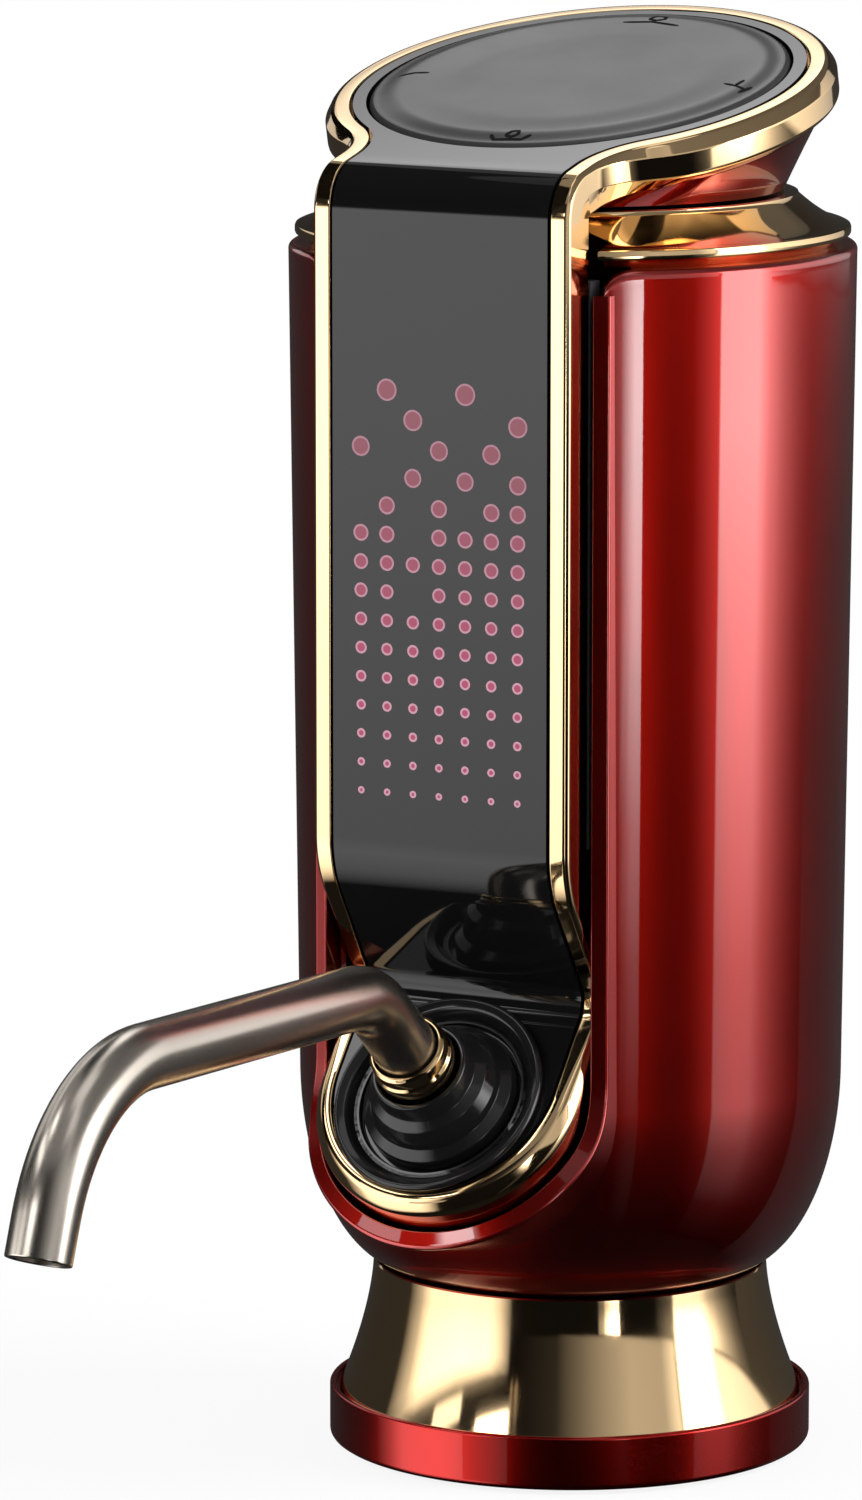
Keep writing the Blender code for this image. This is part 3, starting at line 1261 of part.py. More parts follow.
def make_power(board_green, steel, black, wrap):
    front = RAIL_FRONT_Y - GAP - BOARD_THICKNESS
    board = block(
        "main_board", (-BOARD_HALF_WIDTH - CLIP_WALL, front, BOARD_BOTTOM_Z),
        (BOARD_HALF_WIDTH + CLIP_WALL, front + BOARD_THICKNESS, BOARD_TOP_Z), board_green,
    )
    middle = (BOARD_BOTTOM_Z + BOARD_TOP_Z) / 2.0
    chip_front = front - CHIP_THICKNESS
    half = CHIP_SIZE / 2.0
    side = BOARD_HALF_WIDTH / 2.0
    rise = (BOARD_TOP_Z - BOARD_BOTTOM_Z) / 4.0
    chips = block_set(
        "board_chips",
        [
            ((x - half, chip_front, z - half), (x + half, front + GAP, z + half))
            for x, z in ((0.0, middle), (-side, middle - rise), (side, middle + rise))
        ],
        black,
    )
    join(board, chips)
    low = SHELF_Z + SHELF_THICKNESS + GAP
    turned(
        "battery_cell",
        [
            (0.0, low),
            (BATTERY_RADIUS, low),
            (BATTERY_RADIUS, low + BATTERY_LENGTH),
            (BATTERY_CAP_RADIUS, low + BATTERY_LENGTH),
            (BATTERY_CAP_RADIUS, low + BATTERY_LENGTH + BATTERY_CAP_HEIGHT),
            (0.0, low + BATTERY_LENGTH + BATTERY_CAP_HEIGHT),
        ],
        RING_FACETS,
        wrap,
        place=(0.0, BATTERY_Y, 0.0),
    )
    board_low = port_board_bottom()
    board_back = PORT_BEZEL_FRONT_Y - GAP
    block(
        "charge_board", (-PORT_BOARD_HALF_WIDTH, board_back - PORT_BOARD_LENGTH, board_low),
        (PORT_BOARD_HALF_WIDTH, board_back, board_low + BOARD_THICKNESS), board_green,
    )
    port_low = PORT_Z - PORT_HEIGHT / 2.0
    port_high = PORT_Z + PORT_HEIGHT / 2.0
    socket = block(
        "charge_socket",
        (-PORT_HALF_WIDTH, PORT_BEZEL_BACK_Y - PORT_LENGTH, port_low),
        (PORT_HALF_WIDTH, PORT_BEZEL_BACK_Y - GAP, port_high),
        steel,
    )
    mouth = block(
        "socket_mouth",
        (PORT_WALL - PORT_HALF_WIDTH, PORT_BEZEL_BACK_Y - PORT_LENGTH + PORT_WALL, PORT_WALL + port_low),
        (PORT_HALF_WIDTH - PORT_WALL, PORT_BEZEL_BACK_Y + OVERRUN, port_high - PORT_WALL),
        steel,
    )
    cut(socket, mouth)
    bezel = block(
        "charge_bezel",
        (-PORT_BEZEL_HALF_WIDTH, PORT_BEZEL_FRONT_Y, PORT_Z - PORT_BEZEL_HEIGHT / 2.0),
        (PORT_BEZEL_HALF_WIDTH, PORT_BEZEL_BACK_Y, PORT_Z + PORT_BEZEL_HEIGHT / 2.0),
        black,
    )
    opening = block(
        "bezel_opening",
        (-PORT_HALF_WIDTH - GAP, PORT_BEZEL_FRONT_Y - OVERRUN, port_low - GAP),
        (PORT_HALF_WIDTH + GAP, PORT_BEZEL_BACK_Y + OVERRUN, port_high + GAP),
        black,
    )
    cut(bezel, opening)


def gear_outline(phase):
    """Straight-sided teeth round a root circle."""
    outline = []
    pitch = 2.0 * pi / GEAR_TEETH
    for i in range(GEAR_TEETH):
        middle = phase + pitch * i
        for radius, half in (
            (GEAR_ROOT_RADIUS, -GEAR_ROOT_SHARE / 2.0),
            (GEAR_TIP_RADIUS, -GEAR_TIP_SHARE / 2.0),
            (GEAR_TIP_RADIUS, GEAR_TIP_SHARE / 2.0),
            (GEAR_ROOT_RADIUS, GEAR_ROOT_SHARE / 2.0),
        ):
            angle = middle + pitch * half
            outline.append((radius * cos(angle), radius * sin(angle)))
    return outline


def pump_levels():
    low = CHASSIS_FLOOR_Z + CHASSIS_FLOOR_THICKNESS + GAP
    gear_low = low + PUMP_BASE + GAP
    cover_low = gear_low + GEAR_HEIGHT + GAP * 2.0
    return low, gear_low, cover_low, cover_low + PUMP_COVER


def make_pump(dark, brass, steel, silver):
    low, gear_low, cover_low, cover_top = pump_levels()
    drive_x = PUMP_X - GEAR_CENTRES / 2.0
    driven_x = PUMP_X + GEAR_CENTRES / 2.0
    long, wide = PUMP_HALF_LENGTH, PUMP_HALF_WIDTH
    corner = [(long - PUMP_CORNER, wide), (long, wide - PUMP_CORNER)]
    quarters = ((1.0, 1.0), (1.0, -1.0), (-1.0, -1.0), (-1.0, 1.0))
    outline = []
    for sx, sy in quarters:
        both = corner if sx == sy else list(reversed(corner))
        outline += [(PUMP_X + sx * x, PUMP_Y + sy * y) for x, y in both]
    housing = prism("pump_housing", outline, low, cover_low - GAP, dark)
    reach = GEAR_CENTRES / 2.0
    neck = acos(reach / PUMP_POCKET_RADIUS)
    steps = 22
    eight = []
    for centre, start in ((reach, neck - pi), (-reach, neck)):
        for i in range(steps + 1):
            angle = start + 2.0 * (pi - neck) * i / steps
            if i or not eight:
                eight.append((centre + PUMP_POCKET_RADIUS * cos(angle), PUMP_POCKET_RADIUS * sin(angle)))
    pockets = prism(
        "gear_pockets", eight[:-1], low + PUMP_BASE, cover_low + OVERRUN, dark, place=(PUMP_X, PUMP_Y, 0.0)
    )
    port_z = gear_low + GEAR_HEIGHT / 2.0
    face = PUMP_Y - PUMP_HALF_WIDTH
    ports = empty("pump_ports", (PUMP_X, face, port_z), pi / 2.0)
    port_places = [(side * PUMP_PORT_X, 0.0, 0.0) for side in (-1.0, 1.0)]
    spigot = rod(PUMP_PORT_RADIUS, -PUMP_HALF_WIDTH * PUMP_PORT_ROOT_SHARE, PUMP_PORT_LENGTH)
    bore = rod(PUMP_PORT_BORE, -PUMP_HALF_WIDTH * PUMP_BORE_SHARE, PUMP_PORT_LENGTH + OVERRUN)
    spigots = turned_set("pump_spigots", spigot, HOSE_FACETS, port_places, dark, ports)
    bores = turned_set("pump_bores", bore, HOSE_FACETS, port_places, dark, ports)
    join(housing, spigots, solver="MANIFOLD")
    cut(housing, pockets, bores, solver="MANIFOLD")
    pin_hole = turned(
        "pin_hole", rod(SHAFT_RADIUS + GAP, low + PUMP_BASE / 2.0, cover_low), SMALL_FACETS, dark,
        place=(driven_x, PUMP_Y, 0.0),
    )
    cut(housing, pin_hole, solver="MANIFOLD")
    cover = prism("pump_cover", outline, cover_low, cover_top, silver)
    through = rod(SHAFT_RADIUS + GAP, cover_low - OVERRUN, cover_top + OVERRUN)
    blind = rod(SHAFT_RADIUS + GAP, cover_low - OVERRUN, cover_low + PUMP_COVER / 2.0)
    shaft_hole = turned("cover_shaft_hole", through, SMALL_FACETS, silver, place=(drive_x, PUMP_Y, 0.0))
    pin_top = turned("cover_pin_hole", blind, SMALL_FACETS, silver, place=(driven_x, PUMP_Y, 0.0))
    inset = PUMP_SCREW_INSET
    corners = [(PUMP_X + side * (long - inset), PUMP_Y - side * (wide - inset)) for side in (-1.0, 1.0)]
    screw_length = PUMP_COVER + PUMP_BASE
    screw_room = rod(SMALL_SCREW_RADIUS + GAP, cover_top - screw_length - OVERRUN, cover_top + OVERRUN)
    for name, target in (("cover_screw_holes", cover), ("housing_screw_holes", housing)):
        holes = turned_set(name, screw_room, SCREW_FACETS, [(x, y, 0.0) for x, y in corners], dark)
        cut(target, holes, solver="MANIFOLD")
    cut(cover, shaft_hole, pin_top)
    screws(
        "pump_screw",
        screw(SMALL_SCREW_RADIUS, SMALL_SCREW_HEAD_RADIUS, SMALL_SCREW_HEAD_HEIGHT, screw_length),
        [(x, y, cover_top + GAP) for x, y in corners],
        steel,
        turn=(pi, 0.0, 0.0),
    )

    drive_axis = empty("drive_axis", (drive_x, PUMP_Y, gear_low))
    driven_axis = empty("driven_axis", (driven_x, PUMP_Y, gear_low))
    pitch = 2.0 * pi / GEAR_TEETH
    for name, axis, phase in (("drive_gear", drive_axis, 0.0), ("driven_gear", driven_axis, pi + pitch / 2.0)):
        gear = prism(name, gear_outline(phase), 0.0, GEAR_HEIGHT, brass, axis)
        room = rod(GEAR_BORE_RADIUS, -OVERRUN, GEAR_HEIGHT + OVERRUN)
        bore = turned(name + "_bore", room, SMALL_FACETS, brass, axis)
        cut(gear, bore)
    motor_low = cover_top + GAP + SMALL_SCREW_HEAD_HEIGHT + GAP
    shaft_top = motor_low + MOTOR_SHAFT_GRIP - gear_low
    turned("motor_shaft", rod(SHAFT_RADIUS, GAP, shaft_top), SMALL_FACETS, steel, drive_axis)
    pin = rod(SHAFT_RADIUS, low + PUMP_BASE / 2.0 + GAP, cover_low + PUMP_COVER / 2.0 - GAP)
    turned("gear_pin", pin, SMALL_FACETS, steel, place=(driven_x, PUMP_Y, 0.0))
    turned(
        "pump_motor",
        [
            (SHAFT_RADIUS + GAP, cover_top + GAP),
            (MOTOR_BOSS_RADIUS, cover_top + GAP),
            (MOTOR_BOSS_RADIUS, motor_low),
            (MOTOR_RADIUS, motor_low),
            (MOTOR_RADIUS, motor_low + MOTOR_LENGTH),
            (MOTOR_BOSS_RADIUS, motor_low + MOTOR_LENGTH),
            (MOTOR_BOSS_RADIUS, motor_low + MOTOR_LENGTH + MOTOR_BOSS_HEIGHT),
            (0.0, motor_low + MOTOR_LENGTH + MOTOR_BOSS_HEIGHT),
            (0.0, motor_low + MOTOR_SHAFT_GRIP + GAP),
            (SHAFT_RADIUS + GAP, motor_low + MOTOR_SHAFT_GRIP + GAP),
        ],
        HUB_FACETS,
        silver,
        place=(drive_x, PUMP_Y, 0.0),
    )


def make_hub(black, steel, dark, hub):
    """The dish, the stepped cone and the socket; the hub frame's Z axis is the spout's turning axis."""
    dish = turned(
        "hub_dish",
        [
            (DISH_STEM_RADIUS, -DISH_STEM_DEPTH),
            (DISH_STEM_RADIUS, GAP),
            (DISH_RADIUS, GAP),
        ]
        + [(DISH_RADIUS * across, DISH_LIP_HEIGHT * up) for across, up in DISH_LIP_SHARES]
        + [
            (DISH_STEM_RADIUS, DISH_FLOOR_DEPTH * DISH_SLOPE_SHARE),
            (CONE_RADIUS + GAP, -DISH_FLOOR_DEPTH),
            (FERRULE_RADIUS + GAP, -DISH_FLOOR_DEPTH),
            (FERRULE_RADIUS + GAP, -DISH_STEM_DEPTH),
        ],
        HUB_FACETS,
        black,
        hub,
    )
    floor = GAP - DISH_FLOOR_DEPTH
    rise = CONE_HEIGHT - floor
    turned(
        "hub_cone",
        [
            (FERRULE_RADIUS + GAP, CONE_HEIGHT),
            (FERRULE_RADIUS + GAP, floor),
        ]
        + [(CONE_RADIUS * across, floor + rise * up) for across, up in CONE_SHARES],
        HUB_FACETS,
        black,
        hub,
    )
    top = -DISH_STEM_DEPTH - GAP
    low = top - HUB_SOCKET_FLANGE
    bore = SLEEVE_RADIUS + GAP
    socket = turned(
        "hub_socket",
        [
            (bore, -HUB_SOCKET_DEPTH),
            (bore, -SEAL_DEPTH - SEAL_GROOVE_WIDTH / 2.0),
            (SEAL_GROOVE_RADIUS, -SEAL_DEPTH - SEAL_GROOVE_WIDTH / 2.0),
            (SEAL_GROOVE_RADIUS, -SEAL_DEPTH + SEAL_GROOVE_WIDTH / 2.0),
            (bore, -SEAL_DEPTH + SEAL_GROOVE_WIDTH / 2.0),
            (bore, top),
            (HUB_SOCKET_FLANGE_RADIUS, top),
            (HUB_SOCKET_FLANGE_RADIUS, low),
            (HUB_SOCKET_RADIUS, low),
            (HUB_SOCKET_RADIUS, -HUB_SOCKET_DEPTH),
        ],
        HUB_FACETS,
        dark,
        hub,
    )
    screw_places = circle_places(HUB_SCREW_CIRCLE, 3, 0.0, pi / 2.0)
    room = rod(SMALL_SCREW_RADIUS + GAP, low - OVERRUN, top + OVERRUN)
    cut(socket, turned_set("hub_screw_holes", room, SCREW_FACETS, screw_places, dark, hub))
    pilot = rod(SMALL_SCREW_RADIUS + GAP, -DISH_STEM_DEPTH - OVERRUN, HUB_SCREW_REACH + GAP - DISH_STEM_DEPTH)
    cut(dish, turned_set("dish_pilot_holes", pilot, SCREW_FACETS, screw_places, dark, hub))
    screws(
        "hub_screw",
        screw(SMALL_SCREW_RADIUS, HUB_SCREW_HEAD_RADIUS, SMALL_SCREW_HEAD_HEIGHT, HUB_SOCKET_FLANGE + HUB_SCREW_REACH),
        [(x, y, low - GAP) for x, y, _ in screw_places],
        steel,
        hub,
    )
    chamber_top = -HUB_SOCKET_DEPTH - GAP
    chamber = turned(
        "aeration_chamber",
        [
            (CHAMBER_RADIUS - CHAMBER_WALL, chamber_top),
            (CHAMBER_RADIUS, chamber_top),
            (CHAMBER_RADIUS, -CHAMBER_DEPTH + CHAMBER_WALL),
            (CHAMBER_RADIUS - CHAMBER_WALL, -CHAMBER_DEPTH),
            (CHAMBER_PORT_RADIUS, -CHAMBER_DEPTH),
            (CHAMBER_PORT_RADIUS, -CHAMBER_DEPTH - CHAMBER_PORT_LENGTH),
            (PUMP_PORT_BORE, -CHAMBER_DEPTH - CHAMBER_PORT_LENGTH),
            (PUMP_PORT_BORE, -CHAMBER_DEPTH + CHAMBER_WALL),
            (CHAMBER_RADIUS - CHAMBER_WALL, -CHAMBER_DEPTH + CHAMBER_WALL * 2.0),
        ],
        HUB_FACETS,
        steel,
        hub,
    )
    return chamber


def make_spout(steel, gold, rubber, hub):
    cord_centre = SLEEVE_RADIUS + GAP + SEAL_CORD_RADIUS
    cord = circle_places(SEAL_CORD_RADIUS, 6, 0.0)
    seal = [(cord_centre + across, up - SEAL_DEPTH) for across, up, _ in cord]
    turned("spout_seal", seal, HUB_FACETS, rubber, hub)
    turned(
        "spout_ferrule",
        [
            (SPOUT_RADIUS + GAP, FERRULE_BOTTOM),
            (FERRULE_RADIUS - GAP, FERRULE_BOTTOM),
            (FERRULE_RADIUS - GAP, CONE_HEIGHT),
            (FERRULE_RADIUS, CONE_HEIGHT + GAP),
            (FERRULE_RADIUS, FERRULE_STEP - GAP),
            (FERRULE_NECK_RADIUS, FERRULE_STEP),
            (FERRULE_NECK_RADIUS, FERRULE_TOP - GAP),
            (FERRULE_NECK_RADIUS - GAP, FERRULE_TOP),
            (SPOUT_RADIUS + GAP, FERRULE_TOP),
        ],
        HUB_FACETS,
        gold,
        hub,
    )
    turned("spout_sleeve", ring(SLEEVE_BORE_RADIUS, SLEEVE_RADIUS, SLEEVE_BOTTOM, SLEEVE_TOP), HUB_FACETS, steel, hub)
    turned(
        "spout_clip",
        ring(SLEEVE_RADIUS + GAP, CLIP_RING_RADIUS, -CLIP_RING_DEPTH - CLIP_RING_THICKNESS, -CLIP_RING_DEPTH),
        HUB_FACETS,
        steel,
        hub,
    )
    # The route is drawn in the YZ plane of the hub frame, from world places
    start = HUB_CENTRE + CHIN_OUT * SPOUT_START
    elbow = HUB_CENTRE + CHIN_OUT * SPOUT_ELBOW
    run = Vector((0.0, -cos(SPOUT_RUN_RISE), sin(SPOUT_RUN_RISE)))
    bend = elbow + run * ((SPOUT_RUN_REACH + elbow.y) / cos(SPOUT_RUN_RISE))
    drop = Vector((0.0, -cos(SPOUT_TIP_DROP), -sin(SPOUT_TIP_DROP)))
    tip = bend + drop * SPOUT_TIP_LENGTH
    to_hub = (Matrix.Translation(HUB_CENTRE) @ Matrix.Rotation(CHIN_TILT, 4, "X")).inverted()
    corners = [to_hub @ p for p in (start, elbow, bend, tip)]
    route = rounded_route(corners, [SPOUT_ELBOW_RADIUS, SPOUT_BEND_RADIUS], 7)
    tube("spout_tube", route, SPOUT_RADIUS, SPOUT_BORE_RADIUS, TUBE_FACETS, steel, hub)


def make_head(black, dark, board_green, steel, head):
    """The pad, its cross pivot, the switches and the carrier, in the head frame."""
    pad_low = PAD_PROUD - PAD_THICKNESS
    pivot = empty("pad_pivot", HEAD_CENTRE - HEAD_UP * PIVOT_DEPTH, HEAD_TILT)
    up = PIVOT_DEPTH
    pad = turned(
        "control_pad",
        [
            (0.0, up + pad_low),
            (PAD_RADIUS, up + pad_low),
            (PAD_RADIUS, up),
            (PAD_RADIUS * PAD_EDGE_SHARE, up + PAD_PROUD),
            (PAD_RADIUS * PAD_CREST_SHARE, up + PAD_CREST),
            (PAD_RADIUS * PAD_FLAT_SHARE, up + PAD_PROUD),
            (0.0, up + PAD_PROUD),
        ],
        RING_FACETS,
        black,
        pivot,
    )
    ear_top = up + pad_low + PAD_THICKNESS / 2.0
    pad_ears = block_set(
        "pad_ears",
        [
            ((-EAR_HALF_WIDTH, EAR_START, -EAR_DROP), (EAR_HALF_WIDTH, EAR_START + EAR_THICKNESS, ear_top)),
            ((-EAR_HALF_WIDTH, -EAR_START - EAR_THICKNESS, -EAR_DROP), (EAR_HALF_WIDTH, -EAR_START, ear_top)),
        ],
        black,
        pivot,
    )
    reach = CROSS_PIN_REACH + EAR_THICKNESS
    pin_room = rod(EAR_HOLE_RADIUS, -reach, reach)
    along_y = turned("pad_ear_holes", pin_room, SMALL_FACETS, black, pivot, turn=(pi / 2.0, 0.0, 0.0))
    join(pad, pad_ears)
    cut(pad, along_y)

    half = CROSS_THICKNESS / 2.0
    cross = turned("pad_cross", rod(CROSS_RADIUS, -half, half), SMALL_FACETS, steel, pivot)
    pin = rod(CROSS_PIN_RADIUS, -CROSS_PIN_REACH, CROSS_PIN_REACH)
    for name, turn in (("cross_pin_x", (0.0, pi / 2.0, 0.0)), ("cross_pin_y", (pi / 2.0, 0.0, 0.0))):
        join(cross, turned(name, pin, SMALL_FACETS, steel, pivot, turn=turn))

    carrier_low = -CARRIER_TOP - CARRIER_THICKNESS
    seat_low = -TRIM_HEAD_DEPTH
    carrier = turned(
        "head_carrier",
        [
            (0.0, carrier_low),
            (CARRIER_RADIUS - CARRIER_SEAT_WALL, carrier_low),
            (CARRIER_RADIUS - CARRIER_SEAT_WALL, seat_low),
            (CARRIER_RADIUS, seat_low),
            (CARRIER_RADIUS, -CARRIER_TOP),
            (0.0, -CARRIER_TOP),
        ],
        RING_FACETS,
        dark,
        head,
    )
    wide = CARRIER_RADIUS + OVERRUN
    front_cut = block(
        "carrier_front_cut", (-wide, -wide, seat_low - OVERRUN), (wide, CARRIER_FRONT, carrier_low), dark, head
    )
    window = SWITCH_WINDOW / 2.0
    windows = block_set(
        "switch_windows",
        [
            ((x - window, y - window, carrier_low - OVERRUN), (x + window, y + window, OVERRUN - CARRIER_TOP))
            for x, y, _ in circle_places(SWITCH_CIRCLE, 4, 0.0)
        ],
        dark,
        head,
    )
    well_room = rod(PIVOT_WELL_RADIUS, carrier_low - OVERRUN, OVERRUN - CARRIER_TOP)
    well = turned("pivot_well", well_room, SMALL_FACETS, dark, head)
    cut(carrier, front_cut, windows, well)

    board_top = -CONTROL_BOARD_DEPTH
    disc = rod(CONTROL_BOARD_RADIUS, board_top - BOARD_THICKNESS, board_top)
    board = turned("control_board", disc, RING_FACETS, board_green, head)
    switch_low = board_top - BOARD_THICKNESS / 2.0
    body_top = -CARRIER_TOP - GAP
    half_switch = SWITCH_SIZE / 2.0
    places = circle_places(SWITCH_CIRCLE, 4, 0.0)
    switches = block_set(
        "tact_switches",
        [
            ((x - half_switch, y - half_switch, switch_low), (x + half_switch, y + half_switch, body_top))
            for x, y, _ in places
        ],
        black,
        head,
    )
    plunger = rod(SWITCH_PLUNGER_RADIUS, board_top, -SWITCH_PLUNGER_DROP)
    plungers = turned_set("switch_plungers", plunger, SCREW_FACETS, places, black, head)
    join(board, switches, plungers)
    post_low = board_top + GAP
    post_top = EAR_DROP - PIVOT_DEPTH
    ear_low = post_low + POST_BASE_THICKNESS / 2.0
    foot = rod(PIVOT_WELL_RADIUS - GAP, post_low, post_low + POST_BASE_THICKNESS)
    post = turned("pivot_post", foot, SMALL_FACETS, steel, head)
    ears = block_set(
        "post_ears",
        [
            ((EAR_START, -EAR_HALF_WIDTH, ear_low), (EAR_START + EAR_THICKNESS, EAR_HALF_WIDTH, post_top)),
            ((-EAR_START - EAR_THICKNESS, -EAR_HALF_WIDTH, ear_low), (-EAR_START, EAR_HALF_WIDTH, post_top)),
        ],
        steel,
        head,
    )
    pins = turned(
        "post_ear_holes", pin_room, SMALL_FACETS, steel, head, (0.0, 0.0, -PIVOT_DEPTH), (0.0, pi / 2.0, 0.0)
    )
    join(post, ears)
    cut(post, pins)
    return board


def make_display(board_green, dark, white):
    back = STRIP_FACE_Y + PANEL_THICKNESS
    diffuser_front = back + GAP
    diffuser_back = diffuser_front + DIFFUSER_THICKNESS
    block(
        "display_diffuser", (-DISPLAY_HALF_WIDTH, diffuser_front, DISPLAY_BOTTOM_Z),
        (DISPLAY_HALF_WIDTH, diffuser_back, DISPLAY_TOP_Z), white,
    )
    light_front = diffuser_back + GAP
    board_front = light_front + LIGHT_THICKNESS
    board_back = board_front + BOARD_THICKNESS
    overlap = BOARD_THICKNESS / 2.0
    lights = []
    for row in range(LIGHT_ROWS):
        for column in range(LIGHT_COLUMNS):
            x = DISPLAY_HALF_WIDTH * (2.0 * (column + 0.5) / LIGHT_COLUMNS - 1.0)
            z = DISPLAY_BOTTOM_Z + (DISPLAY_TOP_Z - DISPLAY_BOTTOM_Z) * (row + 0.5) / LIGHT_ROWS
            half = LIGHT_SIZE / 2.0
            lights.append(((x - half, light_front, z - half), (x + half, board_front + overlap, z + half)))
    board = block(
        "display_board", (-DISPLAY_HALF_WIDTH, board_front, DISPLAY_BOTTOM_Z),
        (DISPLAY_HALF_WIDTH, board_back, DISPLAY_TOP_Z), board_green,
    )
    join(board, block_set("display_lights", lights, white))
    front = STRIP_FACE_Y + TRIM_STRIP_DEPTH + GAP
    carrier = block(
        "panel_carrier", (-PANEL_CARRIER_HALF_WIDTH, front, PANEL_CARRIER_BOTTOM_Z),
        (PANEL_CARRIER_HALF_WIDTH, front + PANEL_CARRIER_THICKNESS, PANEL_CARRIER_TOP_Z), dark,
    )
    relief = block(
        "board_relief",
        (-DISPLAY_HALF_WIDTH - GAP, front - OVERRUN, DISPLAY_BOTTOM_Z - GAP),
        (DISPLAY_HALF_WIDTH + GAP, board_back + GAP, DISPLAY_TOP_Z + GAP),
        dark,
    )
    cut(carrier, relief)
    return carrier


def hose_level():
    _, gear_low, _, _ = pump_levels()
    return gear_low + GEAR_HEIGHT / 2.0


def make_hoses(silicone):
    """Each hose ends square on its ports and loops forward of the pump."""
    face = PUMP_Y - PUMP_HALF_WIDTH - PUMP_PORT_LENGTH - GAP
    level = hose_level()
    inlet = Vector((0.0, 0.0, INLET_TOP_Z + GAP))
    chamber = HUB_CENTRE - CHIN_OUT * (CHAMBER_DEPTH + CHAMBER_PORT_LENGTH + GAP)
    for name, side, start, lead in (
        ("suction_hose", -1.0, inlet, Vector((0.0, 0.0, HOSE_RISE))),
        ("outlet_hose", 1.0, chamber, -CHIN_OUT * HOSE_RISE),
    ):
        port = Vector((side * PUMP_PORT_X, face, level))
        top = port - Vector((0.0, HOSE_LOOP, 0.0))
        low = top - Vector((0.0, 0.0, HOSE_LOOP_DROP))
        route = rounded_route([start, start + lead, low, top, port], [HOSE_BEND_RADIUS] * 3, 4)
        tube(name, route, HOSE_RADIUS, HOSE_BORE_RADIUS, HOSE_FACETS, silicone)


def neck_screws(steel):
    deck = COLLAR_TOP_Z - COLLAR_DECK
    screws(
        "neck_screw",
        screw(SMALL_SCREW_RADIUS, SMALL_SCREW_HEAD_RADIUS, SMALL_SCREW_HEAD_HEIGHT, COLLAR_DECK + NECK_SCREW_REACH),
        [(x, y, deck - GAP) for x, y, _ in circle_places(NECK_SCREW_CIRCLE, 4, 0.0, pi / 4.0)[:2]],
        steel,
    )


def main():
    clear_scene()
    red = finish("candy_red", (0.30, 0.008, 0.010), 0.16, 0.55)
    gold = finish("champagne_gold", (0.80, 0.58, 0.33), 0.14, 1.0)
    black = finish("gloss_black", (0.02, 0.02, 0.022), 0.12, 0.0)
    satin = finish("satin_black", (0.06, 0.06, 0.062), 0.38, 0.0)
    dark = finish("moulded_dark", (0.05, 0.05, 0.055), 0.5, 0.0)
    steel = finish("stainless", (0.62, 0.60, 0.57), 0.2, 1.0)
    silver = finish("zinc_plate", (0.7, 0.7, 0.72), 0.35, 1.0)
    brass = finish("brass", (0.78, 0.60, 0.28), 0.3, 1.0)
    rubber = finish("silicone_rubber", (0.03, 0.03, 0.03), 0.75, 0.0)
    clear_hose = finish("clear_silicone", (0.8, 0.8, 0.78), 0.3, 0.0)
    board_green = finish("circuit_board", (0.02, 0.12, 0.06), 0.4, 0.0)
    white = finish("diffuser_white", (0.85, 0.82, 0.84), 0.4, 0.0)
    wrap = finish("cell_wrap", (0.05, 0.18, 0.40), 0.35, 0.0)

    head = empty("head_plane", HEAD_CENTRE, HEAD_TILT)
    hub = empty("hub_axis", HUB_CENTRE, CHIN_TILT)
    make_shell(red)
    make_collar(gold)
    make_neck(red)
    neck_screws(steel)
    make_trim(gold)
    make_panel(black, head, hub)
    make_foot(red, gold, dark, rubber, steel)
    make_chassis(dark)
    make_power(board_green, steel, black, wrap)
    make_pump(dark, brass, steel, silver)
    make_hub(satin, steel, dark, hub)
    make_spout(steel, gold, rubber, hub)
    make_head(satin, dark, board_green, steel, head)
    make_display(board_green, dark, white)
    make_hoses(clear_hose)


main()
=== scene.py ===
# Electric wine aerator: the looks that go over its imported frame.
# Shapes are drawn in millimetres, as on the part's drawing, and every mesh is written in metres.

import json
from math import acos, asin, atan2, cos, hypot, pi, radians, sin, sqrt, tan

import bmesh
import bpy
from mathutils import Matrix, Vector


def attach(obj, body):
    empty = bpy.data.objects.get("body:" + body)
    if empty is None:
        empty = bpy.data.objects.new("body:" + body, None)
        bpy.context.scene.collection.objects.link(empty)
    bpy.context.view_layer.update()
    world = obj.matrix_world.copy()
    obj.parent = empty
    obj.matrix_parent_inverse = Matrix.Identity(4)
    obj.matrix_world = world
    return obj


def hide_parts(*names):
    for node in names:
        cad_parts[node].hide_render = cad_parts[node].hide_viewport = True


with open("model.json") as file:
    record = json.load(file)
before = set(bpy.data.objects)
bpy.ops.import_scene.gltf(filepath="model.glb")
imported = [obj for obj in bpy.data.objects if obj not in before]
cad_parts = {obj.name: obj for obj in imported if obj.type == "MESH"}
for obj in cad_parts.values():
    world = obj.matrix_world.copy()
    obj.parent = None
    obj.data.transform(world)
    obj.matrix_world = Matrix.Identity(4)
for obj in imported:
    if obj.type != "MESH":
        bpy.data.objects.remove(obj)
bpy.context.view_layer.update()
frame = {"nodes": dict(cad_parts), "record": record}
SCENE = bpy.context.scene
MM = 0.001

# ---- Sizes of the drawing, in millimetres ----

GAP = 0.3
OVERRUN = 2.0
MERGE_DISTANCE = 0.0002

SHELL_BOTTOM, SHELL_TOP, SHELL_TOP_RADIUS = 20.9, 134.2, 31.1
SHELL_WAIST_Z, SHELL_WAIST_RADIUS, SHELL_WALL = 43.0, 30.05, 2.2
SHELL_ROUND_WIDTH, SHELL_ROUND_HEIGHT = 11.0, 22.6
PORT_Z = 50.0

